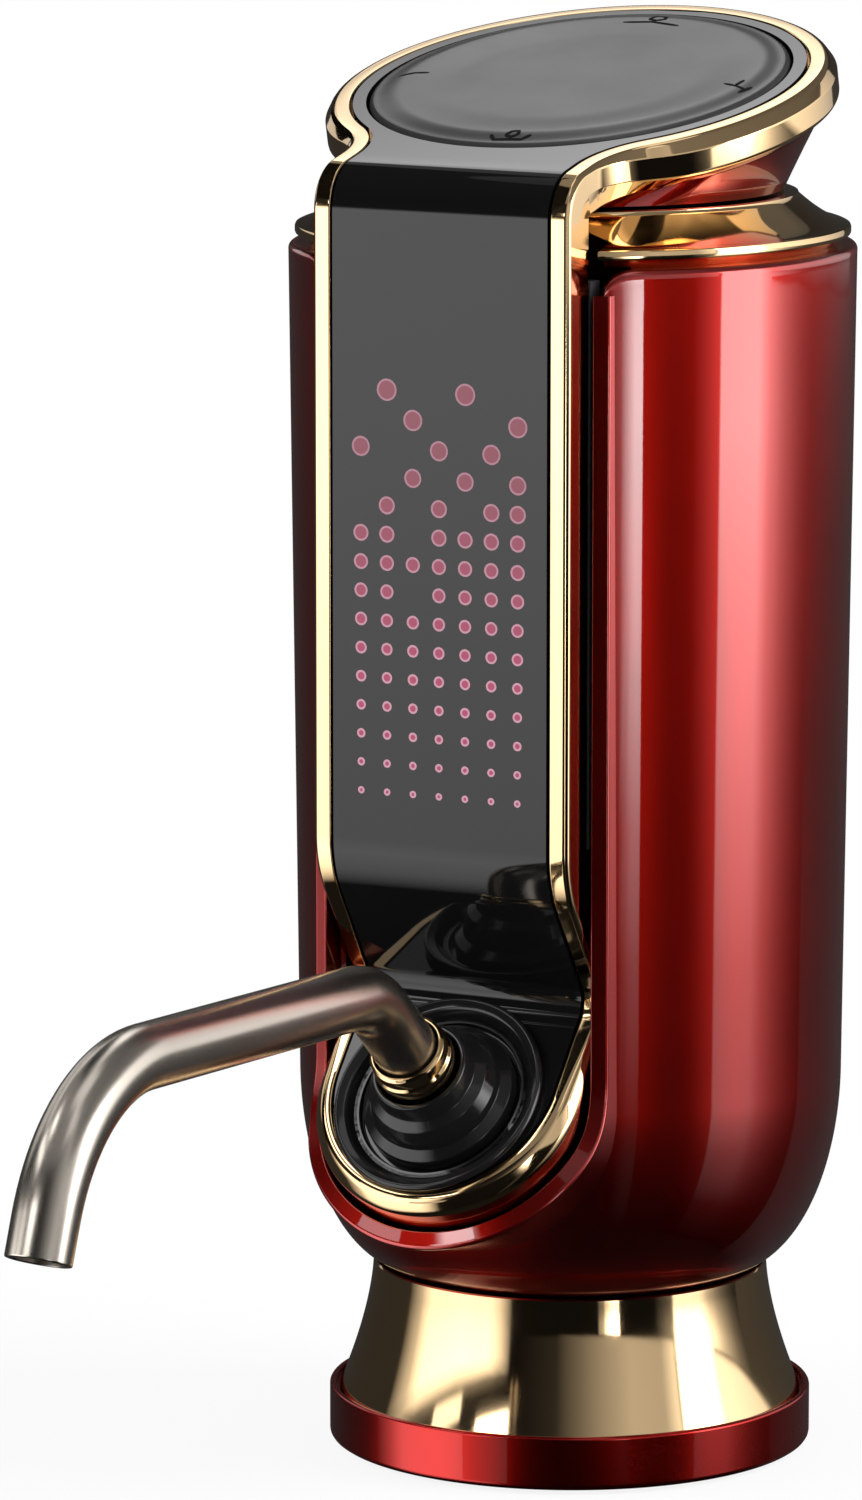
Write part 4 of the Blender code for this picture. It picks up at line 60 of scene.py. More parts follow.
HEAD_CENTRE = Vector((0.0, 1.5, 151.7))
HEAD_TILT, HEAD_RADIUS, HEAD_BLEND_RADIUS = radians(13.6), 27.2, 10.0
STRIP_HALF_WIDTH, STRIP_FACE_Y, FOLD_RADIUS = 15.2, -31.2, 5.2
CHIN_CENTRE, CHIN_TILT = Vector((0.0, -29.7, 45.8)), radians(49.0)
BROW_Z, BROW_RADIUS, WAIST_RISE, WAIST_RADIUS = 68.4, 12.0, 11.6, 3.0
HUB_DROP = 1.9

TRIM_FACE, TRIM_LEDGE, PANEL_THICKNESS = 2.0, 1.0, 2.0
PAD_RADIUS, PAD_RIM_GAP, DISH_STEM_RADIUS = 23.1, 0.35, 9.3

FRAME_SETBACK, FRAME_BLEND_RADIUS = 4.2, 12.0
FRAME_HALF_WIDTH, FRAME_BAR = 17.9, 1.8
FRAME_ROOT, FRAME_CHIN_ROOT, FRAME_CHIN_DROP, FRAME_TOP_DROP = 7.5, 15.6, 3.3, 2.6

COLLAR_EDGE_RADIUS, COLLAR_EDGE_Z, COLLAR_EDGE_HEIGHT = 30.4, 135.2, 1.1
COLLAR_TOP_RADIUS, COLLAR_TOP_Z, COLLAR_BORE, COLLAR_DECK, COLLAR_FLARE = 24.3, 139.9, 15.0, 3.0, 1.5
SPIGOT_INSIDE, SPIGOT_OUTSIDE, SPIGOT_LOW = 26.8, 27.6, 130.2
NECK_RADIUS, NECK_WALL = 23.1, 3.5

BASE_RADIUS, BASE_TOP, BASE_SEAT, SOCKET_RADIUS = 26.8, 6.4, 5.6, 15.6
SKIRT_TOP_RADIUS, SKIRT_BOTTOM_RADIUS, SKIRT_WALL, SKIRT_FLARE = 21.9, 25.7, 1.3, 1.6
SKIRT_LOW, SKIRT_HIGH = BASE_SEAT + GAP, SHELL_BOTTOM - GAP

SPOUT_RADIUS, SPOUT_BORE, SPOUT_START, SPOUT_ELBOW = 3.45, 2.75, 8.2, 21.6
SPOUT_RISE, SPOUT_REACH, SPOUT_DROP, SPOUT_TIP = radians(2.4), 109.0, radians(69.0), 18.7
SPOUT_BENDS = [10.0, 20.0]

HEAD_BACK = Vector((0.0, cos(HEAD_TILT), sin(HEAD_TILT)))
HEAD_UP = Vector((0.0, -sin(HEAD_TILT), cos(HEAD_TILT)))
CHIN_BACK = Vector((0.0, cos(CHIN_TILT), sin(CHIN_TILT)))
CHIN_OUT = Vector((0.0, -sin(CHIN_TILT), cos(CHIN_TILT)))
HUB_CENTRE = CHIN_CENTRE - CHIN_BACK * HUB_DROP
HEAD_PLACE = Matrix.Translation(HEAD_CENTRE) @ Matrix.Rotation(HEAD_TILT, 4, "X")
HUB_PLACE = Matrix.Translation(HUB_CENTRE) @ Matrix.Rotation(CHIN_TILT, 4, "X")


# ---- Outlines and paths ----


class SideProfile:
    """A path in the (Y, Z) plane of straight runs joined by round bends, walked by its length."""

    def __init__(self, corners, radii):
        self.runs = []
        self.knots = [0.0]
        place = Vector(corners[0])
        for i, corner in enumerate(corners[1:]):
            ahead = Vector(corner) - place
            angle = atan2(ahead.y, ahead.x)
            if i < len(radii):
                after = Vector(corners[i + 2]) - Vector(corner)
                turn = atan2(after.y, after.x) - angle
                turn = (turn + pi) % (2.0 * pi) - pi
                reach = radii[i] * tan(abs(turn) / 2.0)
                self.add(ahead.length - reach, place, angle, 0.0)
                start = Vector(corner) - ahead.normalized() * reach
                bend = radii[i] * abs(turn)
                self.add(bend, start, angle, turn / bend)
                place = Vector(corner) + after.normalized() * reach
            else:
                self.add(ahead.length, place, angle, 0.0)

    def add(self, length, place, angle, curve):
        self.runs.append((self.knots[-1], place, angle, curve))
        self.knots.append(self.knots[-1] + length)

    def at(self, walked):
        """The point, the direction of travel and the outward direction after a walked length."""
        start, place, angle, curve = self.runs[0]
        for run in self.runs:
            if walked >= run[0]:
                start, place, angle, curve = run
        ahead = walked - start
        end = angle + curve * ahead
        if curve:
            point = place + Vector((sin(end) - sin(angle), cos(angle) - cos(end))) / curve
        else:
            point = place + Vector((cos(end), sin(end))) * ahead
        along = Vector((0.0, cos(end), sin(end)))
        return Vector((0.0, point.x, point.y)), along, Vector((0.0, sin(end), -cos(end)))

    def bend_stations(self, index, steps):
        low, high = self.knots[index], self.knots[index + 1]
        return [low + (high - low) * i / steps for i in range(steps + 1)]


WAIST = CHIN_CENTRE + CHIN_BACK * WAIST_RISE
FOLD_Z = HEAD_CENTRE.z + (STRIP_FACE_Y - HEAD_CENTRE.y) * tan(HEAD_TILT)
PROFILE_START = HEAD_CENTRE + HEAD_BACK * (HEAD_RADIUS + OVERRUN)
PROFILE_END = CHIN_CENTRE - CHIN_BACK * (STRIP_HALF_WIDTH + OVERRUN)
STRIP = SideProfile(
    [PROFILE_START.yz, (STRIP_FACE_Y, FOLD_Z), (STRIP_FACE_Y, BROW_Z), WAIST.yz, PROFILE_END.yz],
    [FOLD_RADIUS, BROW_RADIUS, WAIST_RADIUS],
)
HEAD_W = HEAD_RADIUS + OVERRUN
CHIN_W = STRIP.knots[-1] - STRIP_HALF_WIDTH - OVERRUN
FOLD_BEND, BROW_BEND, WAIST_BEND = 1, 3, 5

FRAME_FACE_Y = STRIP_FACE_Y + FRAME_SETBACK
FRAME_TOP_Z = SHELL_TOP - FRAME_TOP_DROP
FRAME_CENTRE = CHIN_CENTRE - CHIN_OUT * FRAME_SETBACK
FRAME_CORNER_Z = FRAME_CENTRE.z - (FRAME_CENTRE.y - FRAME_FACE_Y) * tan(CHIN_TILT)
FRAME_END = FRAME_CENTRE - CHIN_BACK * (FRAME_HALF_WIDTH + OVERRUN)
FRAME = SideProfile(
    [(FRAME_FACE_Y, FRAME_TOP_Z), (FRAME_FACE_Y, FRAME_CORNER_Z), FRAME_END.yz], [FRAME_BLEND_RADIUS]
)
FRAME_CHIN_W = FRAME.knots[-1] - FRAME_HALF_WIDTH - OVERRUN


def circle(count):
    return [2.0 * pi * i / count for i in range(count)]


def ease(share):
    """0 to 1 with a smooth start and end."""
    share = max(0.0, min(1.0, share))
    return share * share * (3.0 - 2.0 * share)


def rounded(corners, steps=4):
    """A closed outline with its corners (u, v, radius) turned into arcs."""
    outline = []
    for i, (u, v, radius) in enumerate(corners):
        here = Vector((u, v))
        before = Vector(corners[i - 1][:2]) - here
        after = Vector(corners[(i + 1) % len(corners)][:2]) - here
        half = acos(max(-1.0, min(1.0, before.normalized().dot(after.normalized())))) / 2.0
        reach = min(radius / max(tan(half), 1e-3), before.length * 0.49, after.length * 0.49)
        if radius <= 0.0 or half > radians(89.5):
            outline += [here] * (steps + 1)
            continue
        radius = reach * tan(half)
        centre = here + (before.normalized() + after.normalized()).normalized() * (radius / sin(half))
        start = here + before.normalized() * reach - centre
        end = here + after.normalized() * reach - centre
        sweep = atan2(start.x * end.y - start.y * end.x, start.dot(end))
        for k in range(steps + 1):
            angle = sweep * k / steps
            x = start.x * cos(angle) - start.y * sin(angle)
            y = start.x * sin(angle) + start.y * cos(angle)
            outline.append(centre + Vector((x, y)))
    return [(p.x, p.y) for p in outline]


def shell_radius(z):
    """Outer radius of the body: a slight taper over a rounded bottom."""
    if z >= SHELL_WAIST_Z:
        share = (z - SHELL_WAIST_Z) / (SHELL_TOP - SHELL_WAIST_Z)
        return SHELL_WAIST_RADIUS + (SHELL_TOP_RADIUS - SHELL_WAIST_RADIUS) * share
    drop = (SHELL_WAIST_Z - z) / SHELL_ROUND_HEIGHT
    return SHELL_WAIST_RADIUS - SHELL_ROUND_WIDTH * (1.0 - sqrt(max(0.0, 1.0 - drop * drop)))


def skirt_radius(z):
    """Outer radius of the flared foot."""
    share = (SKIRT_HIGH - z) / (SKIRT_HIGH - SKIRT_LOW)
    return SKIRT_TOP_RADIUS + (SKIRT_BOTTOM_RADIUS - SKIRT_TOP_RADIUS) * share**SKIRT_FLARE


def keyhole_stations():
    """Half the trim's outline, from behind the head to the chin: (x, walked, outward x, outward walk)."""
    head_steps, blend_steps, bend_steps, chin_steps = 72, 16, 14, 36
    far = sqrt((HEAD_RADIUS + HEAD_BLEND_RADIUS) ** 2 - (STRIP_HALF_WIDTH + HEAD_BLEND_RADIUS) ** 2)
    join_angle = atan2(STRIP_HALF_WIDTH + HEAD_BLEND_RADIUS, far)
    stations = []
    for i in range(head_steps + 1):
        angle = pi - (pi - join_angle) * i / head_steps
        out = (sin(angle), cos(angle))
        stations.append((HEAD_RADIUS * out[0], HEAD_W + HEAD_RADIUS * out[1], *out))
    for i in range(1, blend_steps + 1):
        angle = join_angle + (pi / 2.0 - join_angle) * i / blend_steps
        out = (sin(angle), cos(angle))
        x = STRIP_HALF_WIDTH + HEAD_BLEND_RADIUS * (1.0 - out[0])
        stations.append((x, HEAD_W + far - HEAD_BLEND_RADIUS * out[1], *out))
    for bend in (FOLD_BEND, BROW_BEND, WAIST_BEND):
        stations += [(STRIP_HALF_WIDTH, w, 1.0, 0.0) for w in STRIP.bend_stations(bend, bend_steps)]
    for i in range(chin_steps + 1):
        angle = pi / 2.0 * (1.0 - i / chin_steps)
        out = (sin(angle), cos(angle))
        stations.append((STRIP_HALF_WIDTH * out[0], CHIN_W + STRIP_HALF_WIDTH * out[1], *out))
    return stations


def frame_outline(half_width, blend_steps, chin_steps):
    """Half of a U on the frame's profile: (x, walked, outward x, outward walk, chin share)."""
    walks = [FRAME.knots[1] * i / 8.0 for i in range(8)]
    walks += [w for w in FRAME.bend_stations(1, blend_steps) if w < FRAME_CHIN_W - GAP]
    outline = [(half_width, w, 1.0, 0.0, 0.0) for w in walks]
    for i in range(chin_steps + 1):
        angle = pi / 2.0 * (1.0 - i / chin_steps)
        out = (sin(angle), cos(angle))
        outline.append((half_width * out[0], FRAME_CHIN_W + half_width * out[1], *out, cos(angle)))
    return outline


def frame_root(chin_share):
    """From the rim's face back into the body."""
    back = FRAME_ROOT + (FRAME_CHIN_ROOT - FRAME_ROOT) * chin_share
    return Vector((0.0, back, -FRAME_CHIN_DROP * chin_share))


def rounded_route(corners, radii, steps):
    """Points along straight runs in space, joined by round bends."""
    route = [corners[0]]
    for before, corner, after, radius in zip(corners, corners[1:], corners[2:], radii):
        u = (before - corner).normalized()
        v = (after - corner).normalized()
        half = acos(max(-1.0, min(1.0, u.dot(v)))) / 2.0
        reach = radius / tan(half)
        centre = corner + (u + v).normalized() * (radius / sin(half))
        first = corner + u * reach - centre
        axis = (u.cross(v)).normalized()
        for i in range(steps + 1):
            route.append(centre + Matrix.Rotation(-(pi - 2.0 * half) * i / steps, 3, axis) @ first)
    route.append(corners[-1])
    return route


# ---- Mesh makers: each gives (points, faces) in millimetres ----


def turned(profile, count, place=None):
    """A closed profile of (radius, height) turned about the upright axis."""
    points = [Vector((r * cos(angle), r * sin(angle), z)) for angle in circle(count) for r, z in profile]
    if place is not None:
        points = [place @ p for p in points]
    size = len(profile)
    faces = []
    for i in range(count):
        a = i * size
        b = ((i + 1) % count) * size
        faces += [[a + k, b + k, b + (k + 1) % size, a + (k + 1) % size] for k in range(size)]
    return points, faces


def swept(rings, closed=False):
    """A skin through equal rings of points, capped at its ends unless it closes on itself."""
    size = len(rings[0])
    points = [p for ring in rings for p in ring]
    faces = []
    for k in range(len(rings) if closed else len(rings) - 1):
        a = k * size
        b = ((k + 1) % len(rings)) * size
        faces += [[a + i, a + (i + 1) % size, b + (i + 1) % size, b + i] for i in range(size)]
    if not closed:
        faces.append(list(range(size)))
        faces.append(list(range((len(rings) - 1) * size, len(rings) * size)))
    return points, faces


def section_ring(path, station, section, root=Vector((0.0, 0.0, 0.0))):
    """A section of (offset, depth, share of the root) on a station of a path."""
    x, walked, out_x, out_w = station
    point, along, out = path.at(walked)
    ring = []
    for offset, depth, deep in section:
        p = point + along * (out_w * offset) - out * depth + root * deep
        ring.append(Vector((x + out_x * offset, p.y, p.z)))
    return ring


def mirrored(rings):
    return [[Vector((-p.x, p.y, p.z)) for p in ring] for ring in reversed(rings)]


def joined(*parts):
    points = []
    faces = []
    for some, theirs in parts:
        faces += [[len(points) + i for i in face] for face in theirs]
        points += some
    return points, faces


def block(low, high):
    x_ends, y_ends, z_ends = zip(low, high)
    points = [Vector((x, y, z)) for x in x_ends for y in y_ends for z in z_ends]
    return points, [[0, 1, 3, 2], [4, 6, 7, 5], [0, 4, 5, 1], [2, 3, 7, 6], [0, 2, 6, 4], [1, 5, 7, 3]]


def plain_mesh(name, points, faces):
    """An object of these points and faces, just as they are."""
    mesh = bpy.data.meshes.new(name)
    mesh.from_pydata([p * MM for p in points], [], faces)
    obj = bpy.data.objects.new(name, mesh)
    SCENE.collection.objects.link(obj)
    return obj


def body(name, shape):
    """An object from (points, faces), merged and with its faces outward."""
    obj = plain_mesh(name, *shape)
    work = bmesh.new()
    work.from_mesh(obj.data)
    bmesh.ops.remove_doubles(work, verts=work.verts, dist=MERGE_DISTANCE * MM)
    bmesh.ops.recalc_face_normals(work, faces=work.faces)
    work.to_mesh(obj.data)
    work.free()
    return obj


def settle(thing, **settings):
    for key, value in settings.items():
        setattr(thing, key, value)


def modify(obj, kind, **settings):
    settle(obj.modifiers.new(kind.lower(), kind), **settings)


def baked(obj):
    """The object's mesh with its modifiers applied."""
    graph = bpy.context.evaluated_depsgraph_get()
    mesh = bpy.data.meshes.new_from_object(obj.evaluated_get(graph))
    obj.modifiers.clear()
    obj.data = mesh


def cut(obj, *cutters):
    for cutter in cutters:
        modify(obj, "BOOLEAN", operation="DIFFERENCE", solver="EXACT", object=cutter)
    baked(obj)
    for cutter in cutters:
        bpy.data.objects.remove(cutter)


def eased_edges(obj, width):
    """A small round on every hard edge."""
    limits = {"limit_method": "ANGLE", "angle_limit": radians(40.0), "use_clamp_overlap": True}
    modify(obj, "BEVEL", width=width * MM, segments=2, **limits)
    baked(obj)


def dress(obj, riding, slot, *replaced, sharp, finish=None):
    """Give a piece its finish and even normals, and say what carries it and what it replaces."""
    obj.data.materials.clear()
    obj.data.materials.append(FINISHES[finish or slot])
    obj.data.shade_smooth()
    obj.data.set_sharp_from_angle(angle=radians(sharp))
    modify(obj, "WEIGHTED_NORMAL", keep_sharp=True)
    baked(obj)
    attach(obj, riding)
    if replaced:
        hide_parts(*replaced)


# ---- Finishes ----


def node(tree, kind, inputs=None, **settings):
    """A new node with its settings. An input takes a value, or the socket that feeds it."""
    made = tree.nodes.new(kind)
    settle(made, **settings)
    feed(tree, made, inputs or {})
    return made


def feed(tree, target, inputs):
    for key, value in inputs.items():
        if isinstance(value, bpy.types.NodeSocket):
            tree.links.new(value, target.inputs[key])
        else:
            target.inputs[key].default_value = value


def socket(tree, name, way, kind="NodeSocketFloat", value=None):
    made = tree.interface.new_socket(name=name, in_out=way, socket_type=kind)
    if value is not None:
        made.default_value = value


def new_material(name):
    made = bpy.data.materials.new(name)
    made.use_nodes = True
    return made, made.node_tree


def surface_grain():
    """Fine relief, broad handling marks and a slow change of tone, all on Object coordinates."""
    tree = bpy.data.node_groups.new("surface_grain", "ShaderNodeTree")
    for name, value in (("Fine scale", 900.0), ("Broad scale", 60.0), ("Smoothest", 0.1), ("Roughest", 0.2)):
        socket(tree, name, "INPUT", value=value)
    for name in ("Height", "Roughness", "Tone"):
        socket(tree, name, "OUTPUT")
    given = node(tree, "NodeGroupInput").outputs
    place = node(tree, "ShaderNodeTexCoord").outputs["Object"]

    def noise(**inputs):
        return node(tree, "ShaderNodeTexNoise", {"Vector": place, **inputs}).outputs["Fac"]

    broad = noise(Scale=given["Broad scale"], Detail=4.0, Roughness=0.62)
    levels = {"From Min": 0.35, "From Max": 0.70, "To Min": given["Smoothest"], "To Max": given["Roughest"]}
    spread = node(tree, "ShaderNodeMapRange", {"Value": broad, **levels})
    result = node(tree, "NodeGroupOutput", {"Height": noise(Scale=given["Fine scale"], Detail=3.0)})
    feed(tree, result, {"Roughness": spread.outputs["Result"], "Tone": noise(Scale=28.0, Detail=1.0)})
    return tree


GRAIN = surface_grain()


def finish(name, light, dark, rough, relief, constants):
    """A surface between two near tones, with relief and a changing roughness."""
    made, tree = new_material(name)
    fine, broad, bump, depth = relief
    scales = {"Fine scale": fine, "Broad scale": broad, "Smoothest": rough[0], "Roughest": rough[1]}
    grain = node(tree, "ShaderNodeGroup", scales, node_tree=GRAIN)
    tones = {"Factor": grain.outputs["Tone"], "A": (*dark, 1.0), "B": (*light, 1.0)}
    tone = node(tree, "ShaderNodeMix", tones, data_type="RGBA")
    rise = {"Strength": bump, "Distance": depth * MM, "Height": grain.outputs["Height"]}
    normal = node(tree, "ShaderNodeBump", rise).outputs["Normal"]
    looks = {"Base Color": tone.outputs["Result"], "Roughness": grain.outputs["Roughness"], "Normal": normal}
    feed(tree, tree.nodes["Principled BSDF"], {**constants, **looks})
    return made


METAL = {"Metallic": 1.0}
LACQUER = {"Metallic": 1.0, "Coat Weight": 1.0, "Coat Roughness": 0.03, "Coat IOR": 1.75}
THIN_COAT = {**LACQUER, "Coat Weight": 0.5, "Coat IOR": 1.6}
CLEAR = {"Transmission Weight": 0.75, "IOR": 1.41}
DULL = {"Specular IOR Level": 0.1}
LENS, WRAP = {"IOR": 1.46}, {"Metallic": 0.3}

# Name, light and dark tone, smoothest and roughest, (fine and broad scale, bump, relief in mm), constants.
FINISH_ROWS = [
    ("candy_red", (0.42, 0.008, 0.004), (0.39, 0.007, 0.003), (0.30, 0.34), (420, 60, 0.015, 0.01), LACQUER),
    ("base_red", (0.48, 0.010, 0.006), (0.45, 0.009, 0.005), (0.24, 0.28), (420, 60, 0.015, 0.01), THIN_COAT),
    ("champagne_gold", (0.89, 0.64, 0.36), (0.83, 0.57, 0.30), (0.05, 0.10), (600, 90, 0.05, 0.01), METAL),
    ("gloss_black", (0.008, 0.008, 0.008), (0.005, 0.005, 0.005), (0.02, 0.05), (300, 50, 0.02, 0.01), LENS),
    ("satin_black", (0.040, 0.040, 0.041), (0.030, 0.030, 0.031), (0.30, 0.36), (4200, 60, 0.12, 0.015), {}),
    ("hub_black", (0.012, 0.012, 0.012), (0.007, 0.007, 0.007), (0.10, 0.15), (2600, 60, 0.03, 0.01), {}),
    ("mark_black", (0.010, 0.010, 0.010), (0.007, 0.007, 0.007), (0.80, 0.90), (900, 60, 0.02, 0.02), DULL),
    ("moulded_dark", (0.055, 0.055, 0.060), (0.040, 0.040, 0.044), (0.45, 0.58), (2600, 60, 0.35, 0.03), {}),
    ("stainless", (0.66, 0.60, 0.53), (0.58, 0.52, 0.45), (0.23, 0.27), (900, 70, 0.02, 0.01), METAL),
    ("zinc_plate", (0.66, 0.67, 0.70), (0.50, 0.51, 0.54), (0.28, 0.42), (1200, 60, 0.15, 0.02), METAL),
    ("brass", (0.82, 0.60, 0.26), (0.70, 0.49, 0.20), (0.18, 0.30), (1500, 60, 0.12, 0.02), METAL),
    ("silicone_rubber", (0.03, 0.03, 0.031), (0.021, 0.021, 0.022), (0.55, 0.68), (1800, 60, 0.25, 0.03), {}),
    ("clear_silicone", (0.86, 0.87, 0.86), (0.78, 0.80, 0.80), (0.12, 0.22), (900, 60, 0.05, 0.02), CLEAR),
    ("circuit_board", (0.020, 0.150, 0.065), (0.008, 0.070, 0.032), (0.25, 0.40), (700, 420, 0.5, 0.04), {}),
    ("diffuser_white", (0.86, 0.83, 0.85), (0.80, 0.76, 0.79), (0.42, 0.52), (1500, 60, 0.15, 0.02), {}),
    ("cell_wrap", (0.05, 0.20, 0.44), (0.03, 0.13, 0.32), (0.22, 0.34), (500, 120, 0.2, 0.03), WRAP),
]
FINISHES = {row[0]: finish(*row) for row in FINISH_ROWS}


# ---- The red lacquered body with its raised rim ----

SHELL_EDGE, SHELL_FLOOR, SHELL_FLOOR_HOLE = 0.7, 2.4, 9.0
CORNER_WIDTH, CORNER_HEIGHT, CORNER_DEPTH = 3.6, 2.2, 4.0


def slot_edge(half_width):
    """Where a U inside the rim meets the body: (angle from the front, height), from the top down."""
    edge = [(asin(half_width / SHELL_TOP_RADIUS), SHELL_TOP)]
    for x, walked, _, _, chin in frame_outline(half_width, 14, 40):
        face = FRAME.at(walked)[0]
        root = frame_root(chin)
        low, high = 0.0, 1.2
        for _ in range(30):
            middle = (low + high) / 2.0
            p = face + root * middle
            if hypot(x, p.y) > shell_radius(p.z):
                low = middle
            else:
                high = middle
        p = face + root * low
        edge.append((atan2(x, -p.y), p.z))
    return edge


def opening_at(edge, z):
    for (angle, high), (after, low) in zip(edge, edge[1:]):
        if low <= z <= high and high > low:
            return angle + (after - angle) * (high - z) / (high - low)
    return edge[0][0] if z > edge[0][1] else 0.0


def shell_walls(edge):
    """The body's (radius, height) rows from the top edge down, outside and inside."""
    lowest = edge[-1][1]
    heights = [z for _, z in edge[1:] if z < SHELL_TOP - 5.0]
    heights += [SHELL_TOP - 1.0 - 0.5 * i for i in range(8)]
    heights += [lowest + (SHELL_BOTTOM - lowest) * i / 18.0 for i in range(1, 19)]
    outer = []
    for i in range(7):
        angle = pi / 2.0 * i / 6.0
        z = SHELL_TOP - SHELL_EDGE + SHELL_EDGE * cos(angle)
        outer.append((SHELL_TOP_RADIUS - SHELL_EDGE + SHELL_EDGE * sin(angle), z))
    outer += [(shell_radius(z), z) for z in sorted(set(heights), reverse=True)]
    floor = SHELL_BOTTOM + SHELL_FLOOR
    inner = [(r - SHELL_WALL, max(z, floor)) for r, z in outer] + [(SHELL_FLOOR_HOLE, floor)]
    inner[0] = (SHELL_TOP_RADIUS - SHELL_WALL, SHELL_TOP)
    return outer + [(SHELL_FLOOR_HOLE, SHELL_BOTTOM)], inner


def make_shell():
    """Both halves of the body, each from the slot's edge round to the back, with low top corners."""
    columns = 90
    edge = slot_edge(FRAME_HALF_WIDTH - FRAME_BAR / 2.0)
    outer, inner = shell_walls(edge)
    points = []
    faces = []
    for mirror in (1.0, -1.0):
        skins = []
        for skin in (outer, inner):
            grid = []
            for (r, z), (_, outer_z) in zip(skin, outer):
                opening = opening_at(edge, outer_z)
                near_top = ease((outer_z - SHELL_TOP + CORNER_DEPTH) / CORNER_DEPTH)
                line = []
                for k in range(columns + 1):
                    angle = opening + (pi - opening) * (k / columns) ** 1.3
                    left = max(0.0, min(1.0, 1.0 - (angle - edge[0][0]) * SHELL_TOP_RADIUS / CORNER_WIDTH))
                    fall = CORNER_HEIGHT * (1.0 - sqrt(1.0 - left * left))
                    line.append(len(points))
                    points.append(Vector((mirror * r * sin(angle), -r * cos(angle), z - fall * near_top)))
                grid.append(line)
            for upper, lower in zip(grid, grid[1:]):
                faces += [[upper[k], upper[k + 1], lower[k + 1], lower[k]] for k in range(columns)]
            skins.append(grid)
        out, back = skins
        for i in (0, -1):
            faces += [[out[i][k], out[i][k + 1], back[i][k + 1], back[i][k]] for k in range(columns)]
        for i in range(len(outer) - 1):
            if opening_at(edge, outer[i][1]) > 0.0:
                faces.append([out[i][0], out[i + 1][0], back[i + 1][0], back[i][0]])
    return points, faces


def make_rim():
    """The raised U round the slot, with a soft outer edge, run back into the body."""
    soft, crisp, slant, arc = 0.45, 0.2, 0.5, 5
    quarter = [pi / 2.0 * k / arc for k in range(arc + 1)]
    section = [(-soft + soft * cos(a), soft - soft * sin(a) + slant, 0.0) for a in quarter]
    section += [(-FRAME_BAR + crisp - crisp * sin(a), crisp - crisp * cos(a), 0.0) for a in quarter]
    section += [(-FRAME_BAR, crisp, 1.0), (0.0, soft + slant, 1.0)]
    right = []
    for *station, chin in frame_outline(FRAME_HALF_WIDTH, 16, 44):
        right.append(section_ring(FRAME, station, section, frame_root(chin)))
    return swept(right + mirrored(right[:-1]))


def port_outline(half_width, half_height, radius, y):
    """A rounded opening round the charging port, at one depth."""
    corners = [(-half_width, -half_height), (half_width, -half_height), (half_width, half_height)]
    corners.append((-half_width, half_height))
    return [Vector((x, y, PORT_Z + z)) for x, z in rounded([(x, z, radius) for x, z in corners], 6)]


shell = body("shell_lacquer", make_shell())
port_hole = body("port_hole", swept([port_outline(6.9, 3.4, 1.5, y) for y in (24.0, 34.0)]))
cut(shell, port_hole)
dress(shell, "casing", "candy_red", "body_shell", sharp=40.0)
rim = body("rim_lacquer", make_rim())
dress(rim, "casing", "candy_red", sharp=40.0)

# The port's bezel and steel sleeve: (half width, half height, corner radius, depth) all round their walls.
bezel_steps = [(6.6, 3.1, 1.2, 26.9), (6.6, 3.1, 1.2, 29.75), (6.5, 3.0, 1.1, 29.93), (6.3, 2.8, 0.9, 30.0)]
bezel_steps += [(5.1, 2.2, 2.1, 30.0), (4.9, 2.0, 1.9, 29.9), (4.8, 1.9, 1.8, 29.7), (4.8, 1.9, 1.8, 26.9)]
bezel = body("bezel_black", swept([port_outline(*step) for step in bezel_steps], closed=True))
dress(bezel, "casing", "gloss_black", "charge_bezel", sharp=50.0)
sleeve_steps = [(4.5, 1.6, 1.55, 22.1), (4.5, 1.6, 1.55, 29.6), (4.4, 1.5, 1.45, 29.7)]
sleeve_steps += [(4.3, 1.4, 1.35, 29.7), (4.2, 1.3, 1.25, 29.6), (4.2, 1.3, 1.25, 22.6)]
sleeve = body("sleeve_steel", swept([port_outline(*step) for step in sleeve_steps]))
dress(sleeve, "casing", "stainless", "charge_socket", sharp=50.0)
tongue = body("port_tongue", block((-3.3, 22.5, PORT_Z - 0.35), (3.3, 28.7, PORT_Z + 0.35)))
eased_edges(tongue, 0.12)
dress(tongue, "casing", "moulded_dark", sharp=32.0)


# ---- Gold keyhole trim ----


def trim_section(walked):
    """The trim's section as (offset from the outline, depth under the face, edge radius)."""
    fold = STRIP.knots[FOLD_BEND]
    strip = ease((walked - HEAD_W - STRIP_HALF_WIDTH) / (fold - HEAD_W - STRIP_HALF_WIDTH))
    chin = ease((walked - STRIP.knots[WAIST_BEND + 1]) / (CHIN_W - STRIP.knots[WAIST_BEND + 1]))

    def between(on_head, on_strip, on_chin):
        return on_head + (on_strip - on_head) * strip + (on_chin - on_strip) * chin

    bulge = between(0.9, 0.2, 0.4)
    chamfer = between(1.5, 0.5, 1.5)
    side = between(4.1, 2.6, 2.6)
    depth = between(5.2, 4.8, 4.8)
    under = between(-0.9, 0.2, 0.4)
    shoulder = 0.45 + (1.5 - 0.45) * max(chin, 0.5 * (1.0 - strip))
    inner = -TRIM_FACE
    ledge = inner - TRIM_LEDGE
    return [
        (inner, 0.0, 0.22),
        (-0.2 * strip - 0.5 * chin, 0.0, shoulder),
        (bulge, chamfer, 0.50 + 0.9 * chin),
        (bulge, side, 0.7),
        (under, depth, 0.20),
        (ledge, depth, 0.05),
        (ledge, PANEL_THICKNESS + GAP, 0.05),
        (inner, PANEL_THICKNESS + GAP, 0.05),
    ]


def make_trim():
    right = []
    for station in keyhole_stations():
        section = [(*edge, 0.0) for edge in rounded(trim_section(station[1]), 3)]
        right.append(section_ring(STRIP, station, section))
    return swept(right + mirrored(right[1:-1]), closed=True)


trim = body("trim_gold", make_trim())
dress(trim, "casing", "champagne_gold", "trim_frame", sharp=48.0)


# ---- Black glass panel over head, strip and chin ----


